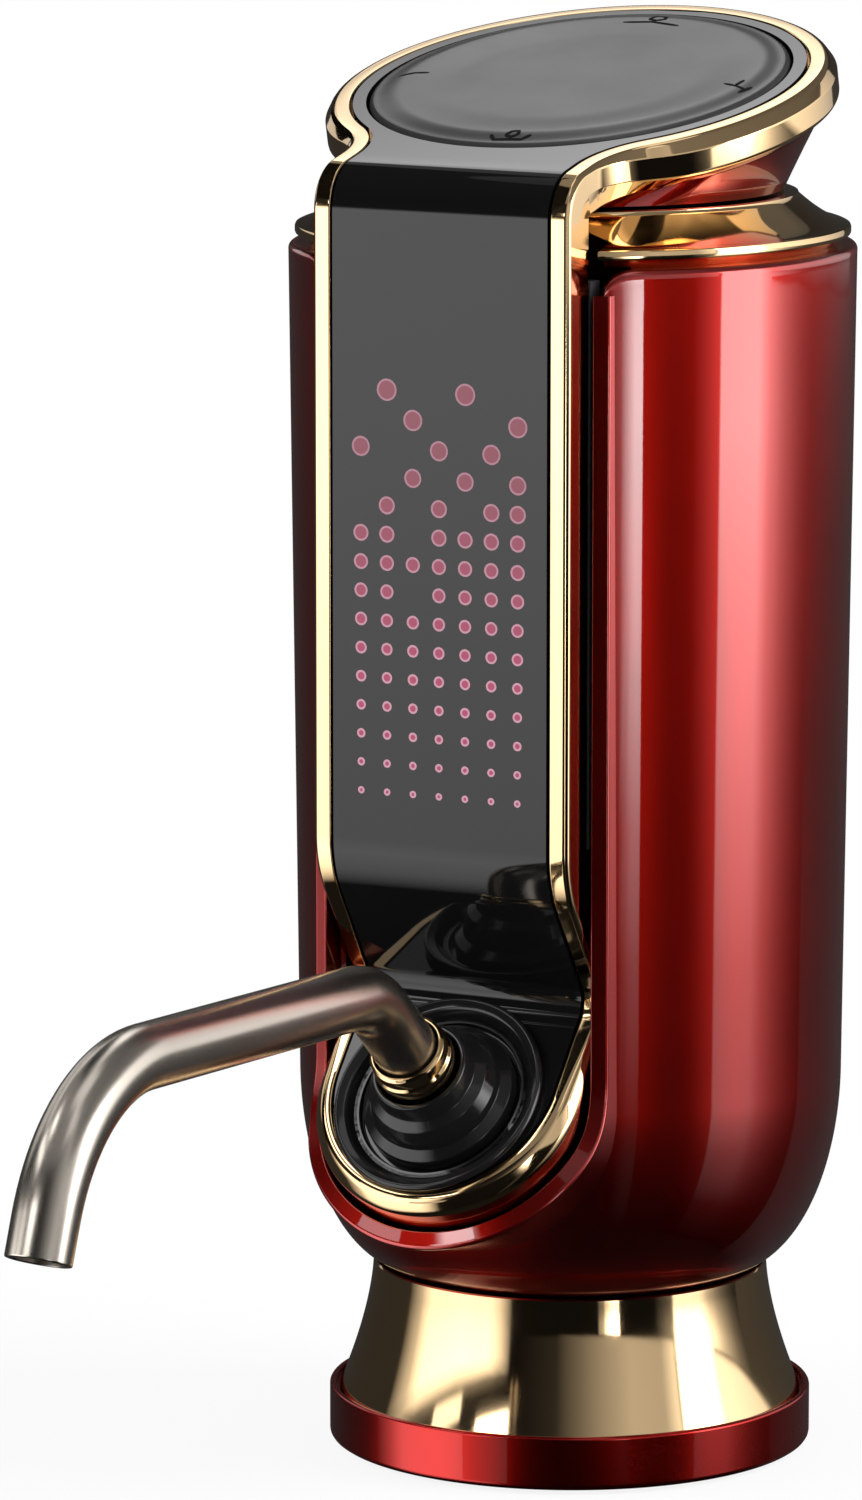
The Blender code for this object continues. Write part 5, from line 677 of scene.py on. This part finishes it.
def make_panel():
    inset = TRIM_FACE + GAP
    rings = []
    for x, walked, out_x, out_w in keyhole_stations():
        half = max(x - out_x * inset, 0.25)
        point, _, out = STRIP.at(walked - out_w * inset)
        under = point - out * PANEL_THICKNESS
        corners = ((-half, point), (-half, under), (half, under), (half, point))
        rings.append([Vector((x, p.y, p.z)) for x, p in corners])
    return swept(rings)


def panel_plug(name, radius, count, place):
    """A cutter for a round hole through the panel."""
    under = -PANEL_THICKNESS - OVERRUN
    profile = [(0.0, under), (radius, under), (radius, OVERRUN), (0.0, OVERRUN)]
    return body(name, turned(profile, count, place))


panel = body("panel_glass", make_panel())
pad_hole = panel_plug("pad_hole", PAD_RADIUS + PAD_RIM_GAP, 128, HEAD_PLACE)
hub_hole = panel_plug("hub_hole", DISH_STEM_RADIUS + GAP, 96, HUB_PLACE)
cut(panel, pad_hole, hub_hole)
eased_edges(panel, 0.22)
dress(panel, "casing", "gloss_black", "front_panel", sharp=35.0)


# ---- Rocking pad on the head ----


# Radius, as a share of the pad's, and height of its flat dish, of its band's crest and of its edge.
PAD_DISH, PAD_CREST, PAD_EDGE = (0.60, 0.52), (0.86, 0.75), (0.975, 0.25)


def pad_height(r):
    """How far the pad's face stands over the head plane: a flat dish in a raised, rounded band."""
    share = r / PAD_RADIUS
    near, low = PAD_DISH if share < PAD_CREST[0] else PAD_EDGE
    return low + (PAD_CREST[1] - low) * ease((share - near) / (PAD_CREST[0] - near))


def make_pad():
    r = PAD_RADIUS
    profile = [(0.0, -1.5), (r - 0.3, -1.5), (r, -1.2), (r, -0.35), (r - 0.12, -0.05), (r - 0.40, 0.20)]
    band = PAD_EDGE[0] - PAD_DISH[0]
    radii = [r * (PAD_EDGE[0] - band * k / 30.0) for k in range(31)] + [r * 0.5, r * 0.25, 0.0]
    return turned(profile + [(radius, pad_height(radius)) for radius in radii], 160, HEAD_PLACE)


pad = body("pad_satin", make_pad())
dress(pad, "pad", "satin_black", "control_pad", sharp=50.0)

# The four marks on the band: a drop over a tray, a glass, a drop over a line, and a line.
MARK_STROKES = [
    [(-0.2, -20.9), (0.5, -21.8), (3.6, -21.4), (4.4, -20.4)],
    [(1.5, -20.9), (2.3, -21.1), (2.9, -20.5), (2.6, -19.7), (1.9, -20.0), (1.5, -20.9)],
    [(18.2, -1.2), (19.8, -1.9), (20.0, 0.1)],
    [(19.8, -1.9), (21.3, -2.3)],
    [(20.9, -3.4), (21.5, -1.2)],
    [(-3.4, 18.0), (0.0, 18.5), (3.6, 17.6)],
    [(-0.8, 19.3), (-0.2, 20.9), (0.9, 20.3), (1.1, 19.4), (0.2, 19.0), (-0.8, 19.3)],
    [(-20.4, -3.7), (-19.0, -2.4), (-17.5, -1.9)],
]


def make_marks():
    """The marks' strokes, printed on the band with narrow ends."""
    half_width, half_end, under, print_height = 0.22, 0.10, -0.1, 0.03
    strokes = []
    for stroke in MARK_STROKES:
        flat = []
        for (x, y), (ahead_x, ahead_y) in zip(stroke, stroke[1:]):
            flat += [Vector((x + (ahead_x - x) * k / 4.0, y + (ahead_y - y) * k / 4.0)) for k in range(4)]
        flat.append(Vector(stroke[-1]))
        rings = []
        for i, p in enumerate(flat):
            ahead = (flat[min(i + 1, len(flat) - 1)] - flat[max(i - 1, 0)]).normalized()
            side = Vector((-ahead.y, ahead.x)) * (half_width if 0 < i < len(flat) - 1 else half_end)
            left, right = p - side, p + side
            ring = []
            for q, lift in ((left, under), (left, print_height), (right, print_height), (right, under)):
                ring.append(HEAD_PLACE @ Vector((q.x, q.y, pad_height(q.length) + lift)))
            rings.append(ring)
        strokes.append(swept(rings))
    return joined(*strokes)


marks = body("pad_marks", make_marks())
dress(marks, "pad", "satin_black", sharp=32.0, finish="mark_black")


# ---- Gold collar and red neck between body and head ----


def make_collar():
    """A rounded edge, a hollow flare up to the lip, a flat deck, and a spigot down inside the body."""
    r, low, high = COLLAR_EDGE_RADIUS, COLLAR_EDGE_Z, COLLAR_EDGE_Z + COLLAR_EDGE_HEIGHT
    profile = [(r - 0.25, low), (r - 0.07, low + 0.07), (r, low + 0.25)]
    profile += [(r, high - 0.35), (r - 0.10, high - 0.10)]
    flare_radius, flare_z = r - 0.35, high + 0.02
    lip_radius, lip_z = COLLAR_TOP_RADIUS + 0.35, COLLAR_TOP_Z - 0.35
    for i in range(21):
        share = i / 20.0
        radius = flare_radius + (lip_radius - flare_radius) * share
        profile.append((radius, flare_z + (lip_z - flare_z) * share**COLLAR_FLARE))
    deck = COLLAR_TOP_Z - COLLAR_DECK
    profile += [(lip_radius - 0.05, COLLAR_TOP_Z - 0.12), (COLLAR_TOP_RADIUS - 0.05, COLLAR_TOP_Z)]
    profile += [(COLLAR_BORE, COLLAR_TOP_Z), (COLLAR_BORE, deck), (25.0, deck), (SPIGOT_INSIDE, 135.1)]
    profile += [(SPIGOT_INSIDE, SPIGOT_LOW), (SPIGOT_OUTSIDE, SPIGOT_LOW), (SPIGOT_OUTSIDE, 133.3)]
    profile.append((29.7, low))
    return turned(profile, 180)


# The strip runs down through the collar: one notch for the deck and a wider one for the spigot.
collar = body("collar_gold", make_collar())
notch = body("collar_notch", block((-16.1, -40.0, 120.0), (16.1, -23.0, 150.0)))
spigot_notch = body("spigot_notch", block((-18.2, -40.0, 120.0), (18.2, -19.2, 134.35)))
cut(collar, notch, spigot_notch)
dress(collar, "casing", "champagne_gold", "neck_collar", sharp=38.0)


def make_neck():
    """A leaning cone: round at the collar, and as wide as the head in the head's own plane."""
    seam = COLLAR_TOP_Z + GAP
    plane = HEAD_CENTRE - HEAD_UP * 5.3
    head_out = HEAD_RADIUS - 1.0
    rings = []
    for angle in circle(144):
        across = Vector((cos(angle), sin(angle), 0.0))
        height = plane.z + HEAD_BACK.z * across.y * head_out - seam
        flare = max(0.0, min(1.0, height / 3.0))
        walls = []
        for inset in (0.0, NECK_WALL):
            radius = NECK_RADIUS + (head_out - NECK_RADIUS) * flare - inset
            top = plane + Vector((across.x * radius, 0.0, 0.0)) + HEAD_BACK * (across.y * radius)
            top.z = max(top.z, seam + 0.4)
            foot = across * (NECK_RADIUS - inset)
            foot.z = seam
            walls.append([foot + (top - foot) * k / 6.0 for k in range(7)])
        rings.append(walls[0] + list(reversed(walls[1])))
    return swept(rings, closed=True)


neck = body("neck_lacquer", make_neck())
dress(neck, "casing", "candy_red", "neck_cone", sharp=40.0)


# ---- Foot: red base ring, flared gold skirt, soft ring ----

# Radius, height and corner radius, all round the ring.
ring_profile = [(SOCKET_RADIUS, 0.4, 0.1), (16.5, 0.4, 0.1), (16.5, 1.5, 0.05), (24.8, 1.5, 0.05)]
ring_profile += [(24.8, 0.4, 0.1), (BASE_RADIUS, 0.4, 0.7), (BASE_RADIUS, BASE_TOP, 0.45)]
ring_profile += [(26.1, BASE_TOP, 0.15), (26.1, BASE_SEAT, 0.05), (SOCKET_RADIUS, BASE_SEAT, 0.1)]
base = body("base_lacquer", turned(rounded(ring_profile, 4), 180))
dress(base, "casing", "candy_red", "base_ring", sharp=40.0, finish="base_red")


def make_skirt():
    """A thin flared wall with a flat top that closes inward to the bottle's socket."""
    low, high, bore = SKIRT_LOW, SKIRT_HIGH, 16.5
    heights = [low + (high - low) * i / 24.0 for i in range(25)]
    outer = [(skirt_radius(z), z) for z in heights[:-1]] + [(skirt_radius(high) - 0.02, high - 0.15)]
    outer.append((skirt_radius(high) - 0.2, high))
    ceiling = high - SKIRT_WALL
    top = [(bore, high), (bore, ceiling), (skirt_radius(ceiling) - SKIRT_WALL, ceiling)]
    inner = [(skirt_radius(z) - SKIRT_WALL, z) for z in reversed(heights) if z < ceiling - GAP]
    return turned(outer + top + inner, 180)


skirt = body("skirt_gold", make_skirt())
dress(skirt, "casing", "champagne_gold", "foot_skirt", sharp=38.0)

foot_profile = rounded([(16.8, 0.0, 0.25), (24.5, 0.0, 0.25), (24.5, 1.2, 0.1), (16.8, 1.2, 0.1)], 3)
soft_foot = body("foot_ring_soft", turned(foot_profile, 120))
dress(soft_foot, "casing", "silicone_rubber", "foot_pad", sharp=40.0)


# ---- Hub: dish, stepped cone, ferrule and spout ----

# Profiles again as radius, height and corner radius, over the chin's plane.
dish_profile = [(4.9, -2.6, 0.1), (DISH_STEM_RADIUS, -2.6, 0.1), (DISH_STEM_RADIUS, 0.0, 0.1)]
dish_profile += [(11.5, 0.0, 0.2), (12.1, 0.7, 0.4), (11.7, 1.3, 0.35), (10.6, 0.9, 0.9)]
dish_profile += [(9.3, -0.9, 0.5), (4.9, -0.9, 0.1)]
dish = body("dish_satin", turned(rounded(dish_profile, 5), 128, HUB_PLACE))
dress(dish, "casing", "satin_black", "hub_dish", sharp=50.0, finish="hub_black")

# The stepped cone, in shares of its foot's radius and of its height.
cone_shares = [(1.0, 0.0), (0.985, 0.2), (0.86, 0.3), (0.84, 0.42), (0.77, 0.62), (0.65, 0.71), (0.62, 0.97)]
cone_radius, cone_bore, cone_floor, cone_top = 8.7, 4.8, -0.6, 6.6
cone_profile = [(cone_bore, cone_floor, 0.05)]
cone_profile += [(cone_radius * r, cone_floor + (cone_top - cone_floor) * h, 0.25) for r, h in cone_shares]
cone_profile += [(cone_radius * 0.61, cone_top, 0.2), (cone_bore, cone_top, 0.1)]
cone = body("cone_satin", turned(rounded(cone_profile, 4), 128, HUB_PLACE))
dress(cone, "casing", "satin_black", "hub_cone", sharp=50.0, finish="hub_black")

ferrule_profile = [(3.75, 3.0, 0.05), (4.2, 3.0, 0.1), (4.2, 6.6, 0.02), (4.5, 6.9, 0.12), (4.5, 8.5, 0.14)]
ferrule_profile += [(4.25, 8.8, 0.06), (4.25, 10.1, 0.15), (3.95, 10.4, 0.1), (3.75, 10.4, 0.05)]
ferrule = body("ferrule_gold", turned(rounded(ferrule_profile, 3), 96, HUB_PLACE))
dress(ferrule, "spout", "champagne_gold", "spout_ferrule", sharp=30.0)


def make_spout():
    """The bent tube from its socket to its open end, with a wall and rounded rims."""
    start = HUB_CENTRE + CHIN_OUT * SPOUT_START
    elbow = HUB_CENTRE + CHIN_OUT * SPOUT_ELBOW
    run = Vector((0.0, -cos(SPOUT_RISE), sin(SPOUT_RISE)))
    bend = elbow + run * ((SPOUT_REACH + elbow.y) / cos(SPOUT_RISE))
    drop = Vector((0.0, -cos(SPOUT_DROP), -sin(SPOUT_DROP)))
    route = rounded_route([start, elbow, bend, bend + drop * SPOUT_TIP], SPOUT_BENDS, 22)
    ahead = [(b - a).normalized() for a, b in zip(route, route[1:])]
    tangents = [ahead[0]] + [(a + b).normalized() for a, b in zip(ahead, ahead[1:])] + [ahead[-1]]
    side = Vector((1.0, 0.0, 0.0))

    def ring(place, tangent, radius):
        up = tangent.cross(side)
        return [place + (side * cos(a) + up * sin(a)) * radius for a in circle(64)]

    rings = [ring(p, t, SPOUT_RADIUS) for p, t in zip(route[:-1], tangents)]
    end, t = route[-1], tangents[-1]
    mouth = [(0.18, SPOUT_RADIUS), (0.05, SPOUT_RADIUS - 0.05), (0.0, SPOUT_RADIUS - 0.18)]
    mouth += [(0.0, SPOUT_BORE + 0.12), (0.12, SPOUT_BORE)]
    rings += [ring(end - t * back, t, radius) for back, radius in mouth]
    rings += [ring(p, d, SPOUT_BORE) for p, d in reversed(list(zip(route[:-1], tangents)))]
    return swept(rings, closed=True)


spout = body("spout_steel", make_spout())
dress(spout, "spout", "stainless", "spout_tube", sharp=40.0)


# ---- Rose dots that show through the strip ----

# Rows that aren't full, counted from below, with the columns that are lit.
DOT_ROWS = {14: (1, 4), 13: (2, 6), 12: (0, 3, 5), 11: (2, 4, 6), 10: (1, 3, 5, 6)}
DOT_ROWS |= {9: (0, 1, 3, 4, 5, 6), 7: (0, 1, 3, 4, 5, 6)}
DOT_ROW_COUNT, DOT_COLUMNS = 15, 7
DOT_PITCH_X, DOT_PITCH_Z, DOT_LOWEST_Z = 3.15, 3.11, 77.3
DOT_LEAST, DOT_LARGEST, DOT_LIFT = 0.8, 2.4, 0.02
DOT_TONE_LOW_Z, DOT_TONE_HIGH_Z = 90.0, 112.0


def dot_material(name, top, bottom, glow):
    """A lit dot, whose tone changes from the lower rows to the upper ones."""
    made = finish(name, top, bottom, (0.10, 0.16), (900, 60, 0.02, 0.02), {"Emission Strength": glow})
    tree = made.node_tree
    tone = tree.nodes["Mix"]
    place = node(tree, "ShaderNodeTexCoord").outputs["Object"]
    height = node(tree, "ShaderNodeSeparateXYZ", {0: place}).outputs["Z"]
    levels = {"Value": height, "From Min": DOT_TONE_LOW_Z * MM, "From Max": DOT_TONE_HIGH_Z * MM}
    feed(tree, tone, {"Factor": node(tree, "ShaderNodeMapRange", levels).outputs["Result"]})
    feed(tree, tree.nodes["Principled BSDF"], {"Emission Color": tone.outputs["Result"]})
    return made


def dot_tree(fill, rim):
    """Round dots on points: a pale rim with a deeper disc in front of it."""
    tree = bpy.data.node_groups.new("dot_field", "GeometryNodeTree")
    socket(tree, "Geometry", "INPUT", "NodeSocketGeometry")
    socket(tree, "Largest diameter", "INPUT", value=DOT_LARGEST * MM)
    socket(tree, "Rim share", "INPUT", value=0.19)
    socket(tree, "Lift", "INPUT", value=DOT_LIFT * MM)
    socket(tree, "Geometry", "OUTPUT", "NodeSocketGeometry")
    given = node(tree, "NodeGroupInput").outputs
    named = node(tree, "GeometryNodeInputNamedAttribute", {"Name": "dot_size"}, data_type="FLOAT")
    size = named.outputs["Attribute"]

    def math(operation, first, second):
        return node(tree, "ShaderNodeMath", {0: first, 1: second}, operation=operation).outputs[0]

    half = math("MULTIPLY", given["Largest diameter"], 0.5)
    disc = node(tree, "GeometryNodeMeshCircle", {"Vertices": 28, "Radius": half}, fill_type="NGON")
    upright = {"Geometry": disc.outputs["Mesh"], "Rotation": (pi / 2.0, 0.0, 0.0)}
    turn = node(tree, "GeometryNodeTransform", upright)
    ends = {"Points": given["Geometry"], "Instance": turn.outputs["Geometry"]}
    rims = node(tree, "GeometryNodeInstanceOnPoints", {**ends, "Scale": size})
    smaller = math("SUBTRACT", size, given["Rim share"])
    fills = node(tree, "GeometryNodeInstanceOnPoints", {**ends, "Scale": smaller})
    forward = node(tree, "ShaderNodeCombineXYZ", {"Y": math("MULTIPLY", given["Lift"], -1.0)})
    lifted = {"Instances": fills.outputs["Instances"], "Translation": forward.outputs[0]}
    fills = node(tree, "GeometryNodeTranslateInstances", lifted)
    join = node(tree, "GeometryNodeJoinGeometry")
    for material, dots in ((rim, rims), (fill, fills)):
        real = node(tree, "GeometryNodeRealizeInstances", {"Geometry": dots.outputs["Instances"]})
        painted = {"Geometry": real.outputs["Geometry"], "Material": material}
        feed(tree, join, {"Geometry": node(tree, "GeometryNodeSetMaterial", painted).outputs["Geometry"]})
    node(tree, "NodeGroupOutput", {"Geometry": join.outputs["Geometry"]})
    return tree


def make_dots():
    points = []
    sizes = []
    for row in range(DOT_ROW_COUNT):
        share = row / (DOT_ROW_COUNT - 1.0)
        for column in DOT_ROWS.get(row, range(DOT_COLUMNS)):
            x = (column - (DOT_COLUMNS - 1) // 2) * DOT_PITCH_X
            points.append(Vector((x, STRIP_FACE_Y - DOT_LIFT, DOT_LOWEST_Z + row * DOT_PITCH_Z)))
            sizes.append((DOT_LEAST + (DOT_LARGEST - DOT_LEAST) * share) / DOT_LARGEST)
    obj = plain_mesh("display_dots", points, [])
    obj.data.attributes.new("dot_size", "FLOAT", "POINT").data.foreach_set("value", sizes)
    fill = dot_material("dot_rose", (0.26, 0.045, 0.075), (0.44, 0.035, 0.12), 0.10)
    rim = dot_material("dot_rim", (0.42, 0.18, 0.24), (0.64, 0.31, 0.40), 0.12)
    modify(obj, "NODES", node_group=dot_tree(fill, rim))
    baked(obj)
    obj.data.attributes.remove(obj.data.attributes["dot_size"])
    return obj


dots = make_dots()
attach(dots, "casing")


# ---- Finishes on the CAD nodes that stay ----

for part in frame["record"]["subparts"]:
    solid = frame["nodes"][part["node"]]
    solid.data.materials.clear()
    solid.data.materials.append(FINISHES[part["material_slot"]])


# ---- Floor, light and camera ----

BACKGROUND_SHARE = 0.88
FLOOR_RADIUS, FLOOR_DROP = 110.0, 0.02
CARD_DISTANCE = 500.0


def seen_directly(tree):
    """The socket that is 1 where the ray comes from the camera, a mirror or through glass."""
    path = node(tree, "ShaderNodeLightPath").outputs
    kinds = {0: path["Is Camera Ray"], 1: path["Is Glossy Ray"]}
    first = node(tree, "ShaderNodeMath", kinds, operation="MAXIMUM").outputs[0]
    kinds = {0: first, 1: path["Is Transmission Ray"]}
    return node(tree, "ShaderNodeMath", kinds, operation="MAXIMUM").outputs[0]


def make_world():
    """A grey room for the light, which looks white."""
    world = bpy.data.worlds.new("studio")
    world.use_nodes = True
    tree = world.node_tree
    room = tree.nodes["Background"]
    room.inputs["Color"].default_value = (0.55, 0.55, 0.56, 1.0)
    white = node(tree, "ShaderNodeBackground", {"Color": (1.0, 1.0, 1.0, 1.0)})
    sides = {"Fac": seen_directly(tree), 1: room.outputs[0], 2: white.outputs[0]}
    mix = node(tree, "ShaderNodeMixShader", sides)
    feed(tree, tree.nodes["World Output"], {"Surface": mix.outputs[0]})
    SCENE.world = world


def flat_disc(name, radius, z, count):
    edge = [Vector((radius * cos(a), radius * sin(a), z)) for a in circle(count)]
    return body(name, (edge, [list(range(count))]))


def make_floor():
    """A pale floor that takes a faint shadow and otherwise looks white."""
    made, tree = new_material("pale_floor")
    shader = tree.nodes["Principled BSDF"]
    feed(tree, shader, {"Base Color": (0.86, 0.86, 0.86, 1.0), "Roughness": 0.9})
    white = node(tree, "ShaderNodeEmission").outputs[0]
    factors = {0: seen_directly(tree), 1: BACKGROUND_SHARE}
    share = node(tree, "ShaderNodeMath", factors, operation="MULTIPLY").outputs[0]
    mix = node(tree, "ShaderNodeMixShader", {"Fac": share, 1: shader.outputs[0], 2: white})
    feed(tree, tree.nodes["Material Output"], {"Surface": mix.outputs[0]})
    floor = flat_disc("floor", FLOOR_RADIUS, -FLOOR_DROP, 96)
    floor.data.materials.append(made)
    floor.visible_glossy = False


def card_material():
    """Light as strong as the mesh's level says."""
    made, tree = new_material("studio_card")
    tree.nodes.remove(tree.nodes["Principled BSDF"])
    level = node(tree, "ShaderNodeAttribute", attribute_name="level").outputs["Fac"]
    shine = node(tree, "ShaderNodeEmission", {"Strength": level}).outputs[0]
    feed(tree, tree.nodes["Material Output"], {"Surface": shine})
    return made


CARD_MATERIAL = card_material()


def only_for_mirrors(obj, levels):
    """A stage piece that shows only in reflections."""
    obj.data.attributes.new("level", "FLOAT", "POINT").data.foreach_set("value", levels)
    obj.data.materials.append(CARD_MATERIAL)
    for kind in ("camera", "diffuse", "shadow", "transmission"):
        setattr(obj, "visible_" + kind, False)


def card(name, azimuths, heights, distance=CARD_DISTANCE):
    """A curved card round the object: (degrees from the front, level) by (height, level)."""
    points = []
    levels = []
    faces = []
    for i, (azimuth, across) in enumerate(azimuths):
        angle = radians(azimuth)
        for j, (z, up) in enumerate(heights):
            points.append(Vector((distance * sin(angle), -distance * cos(angle), z)))
            levels.append(float(across * up))
            if i and j:
                b = i * len(heights) + j
                a = b - len(heights)
                faces.append([a - 1, a, b, b - 1])
    only_for_mirrors(plain_mesh(name, points, faces), levels)


def span(first, last, count, level, end=None):
    """Even steps of azimuth whose level stays, or changes evenly to its end."""
    change = 0.0 if end is None else end - level
    return [(first + (last - first) * i / count, level + change * i / count) for i in range(count + 1)]


def make_main_cards():
    """The large softboxes beside the object, and a slim strip that gives the lacquer its thin line."""
    left = [(-76, 0.06), (-66, 0.8), (-58, 2.1), (-35, 2.35), (-18, 2.2), (-12, 1.3), (-6, 0.2)]
    tall = [(-560, 0), (-330, 0.65), (-127, 0.95), (-70, 0.9), (-14, 0.8), (60, 1), (120, 1.1)]
    card("left_softbox", left, tall + [(142, 0.8), (162, 0.1), (185, 0.01), (700, 0.005)])
    strip = [(43, 0.3), (46, 0.7), (49, 4.2), (51.5, 7.2), (54.7, 7.4)]
    slim = [(-560, 0), (-72, 0.01), (-45, 0.08), (-22, 0.22), (18, 0.68), (48, 1), (76, 1), (82, 0)]
    card("slim_strip", strip, slim, 505)
    right = [(76, 0.02), (80, 0.15), (87, 0.4), (88, 5.4), (106, 5.5), (109, 4), (112, 2.6), (116, 1.8)]
    right += [(119, 1.2), (123, 0.75), (127, 0.45), (131, 0.24), (137, 0.1)]
    wide = [(-560, 0), (-330, 0.005), (-163, 0.06), (-76, 0.14), (-45, 0.19), (-22, 0.32), (18, 0.58)]
    card("right_softbox", right, wide + [(48, 0.84), (700, 0.84)], 505)


def make_small_cards():
    """Lights and dark flags that stand before the large ones and shape one reflection each."""
    upper = [(72, 0), (84, 1), (180, 1), (700, 1)]
    black = [(-560, 0.2), (-330, 1), (80, 1), (380, 0.5)]
    card("left_low_flag", span(-24, -2, 4, 0.55), [(-160, 1), (-62, 1)], 492)
    card("tip_light", span(-22, -5, 4, 6), [(206, 0), (214, 1), (250, 1), (258, 0)], 470)
    card("rim_light", span(-46, -31, 4, 2), [(158, 0.1), (170, 1), (196, 1), (204, 0.1)], 475)
    card("ring_light", span(-66, -34, 6, 3), [(360, 0), (390, 1), (468, 1)], 478)
    card("dish_light", span(-68, -42, 6, 4.5), [(590, 0.2), (650, 1), (720, 1), (750, 0.1)], 470)
    card("front_fill", [(-6, 0), (20, 0.03), (34, 0.2), (60, 0.6), (78, 0.55), (86, 1.3)], upper)
    card("back_fill", [(112, 1.8), (127, 1.5), (150, 1), (175, 0.5)], upper)
    card("high_right_flag", span(60, 198, 12, 0.22, 0.1), [(345, 0.7), (400, 1), (2000, 1)], 485)
    card("left_high", span(-128, -84, 6, 0.7), [(150, 0.5), (175, 1), (330, 1)], 495)
    card("front_flag", span(-6, 88, 12, 0.006), [(-560, 1), (90, 1)], 510)
    card("right_flag", span(136, 214, 10, 0.07, 0.035), black, 510)
    card("left_flag", span(214, 286, 10, 0.035), black, 510)
    card("head_card", span(186, 246, 8, 1.9), [(390, 0.3), (440, 1), (760, 1)], 490)
    card("fold_flag", span(-118, -14, 12, 0.004), [(160, 1), (330, 1)], 96)
    card("chin_flag", span(-140, 30, 14, 0.25), [(470, 1), (2400, 1)], 480)
    only_for_mirrors(flat_disc("under_flag", 520, -560, 64), [0.01] * 64)


def lamp(name, azimuth, elevation, distance, size, power):
    """A round lamp aimed at the object's middle, with its distance and size in metres."""
    made = bpy.data.lights.new(name, "AREA")
    settle(made, shape="DISK", size=size, energy=power)
    obj = bpy.data.objects.new(name, made)
    a, e = radians(azimuth), radians(elevation)
    place = Vector((sin(a) * cos(e), -cos(a) * cos(e), sin(e))) * distance
    obj.location = place
    obj.rotation_euler = (place - Vector((0.0, 0.0, 80.0 * MM))).to_track_quat("Z", "Y").to_euler()
    obj.visible_glossy = False
    obj.visible_camera = False
    SCENE.collection.objects.link(obj)


def make_light():
    make_world()
    make_floor()
    make_main_cards()
    make_small_cards()
    lamp("key_lamp", 105.0, 42.0, 1.1, 0.6, 9.0)
    lamp("fill_lamp", -50.0, 35.0, 1.2, 0.7, 6.0)


def make_camera():
    """The photograph's view: 27 degrees to the right of the front and a little above."""
    azimuth, pitch, distance, height = radians(27.0), radians(9.6), 888.0, 227.9
    focal, photo_height, photo_middle, axis_column = 8152.0, 1500.0, 431.0, 573.3
    yaw = atan2(axis_column - photo_middle, focal)
    place = Vector((distance * sin(azimuth), -distance * cos(azimuth), height))
    level = Matrix.Rotation(yaw, 3, "Z") @ Vector((-sin(azimuth), cos(azimuth), 0.0))
    forward = Vector((level.x * cos(pitch), level.y * cos(pitch), -sin(pitch)))
    right = forward.cross(Vector((0.0, 0.0, 1.0))).normalized()
    lens = bpy.data.cameras.new("photo_camera")
    settle(lens, sensor_width=36.0, lens=focal / photo_height * 36.0, clip_start=0.05, clip_end=20.0)
    obj = bpy.data.objects.new("photo_camera", lens)
    turn = Matrix((right, right.cross(forward), -forward)).transposed()
    obj.matrix_world = Matrix.Translation(place * MM) @ turn.to_4x4()
    SCENE.collection.objects.link(obj)
    SCENE.camera = obj


make_light()
make_camera()
SCENE.view_settings.view_transform = "Standard"
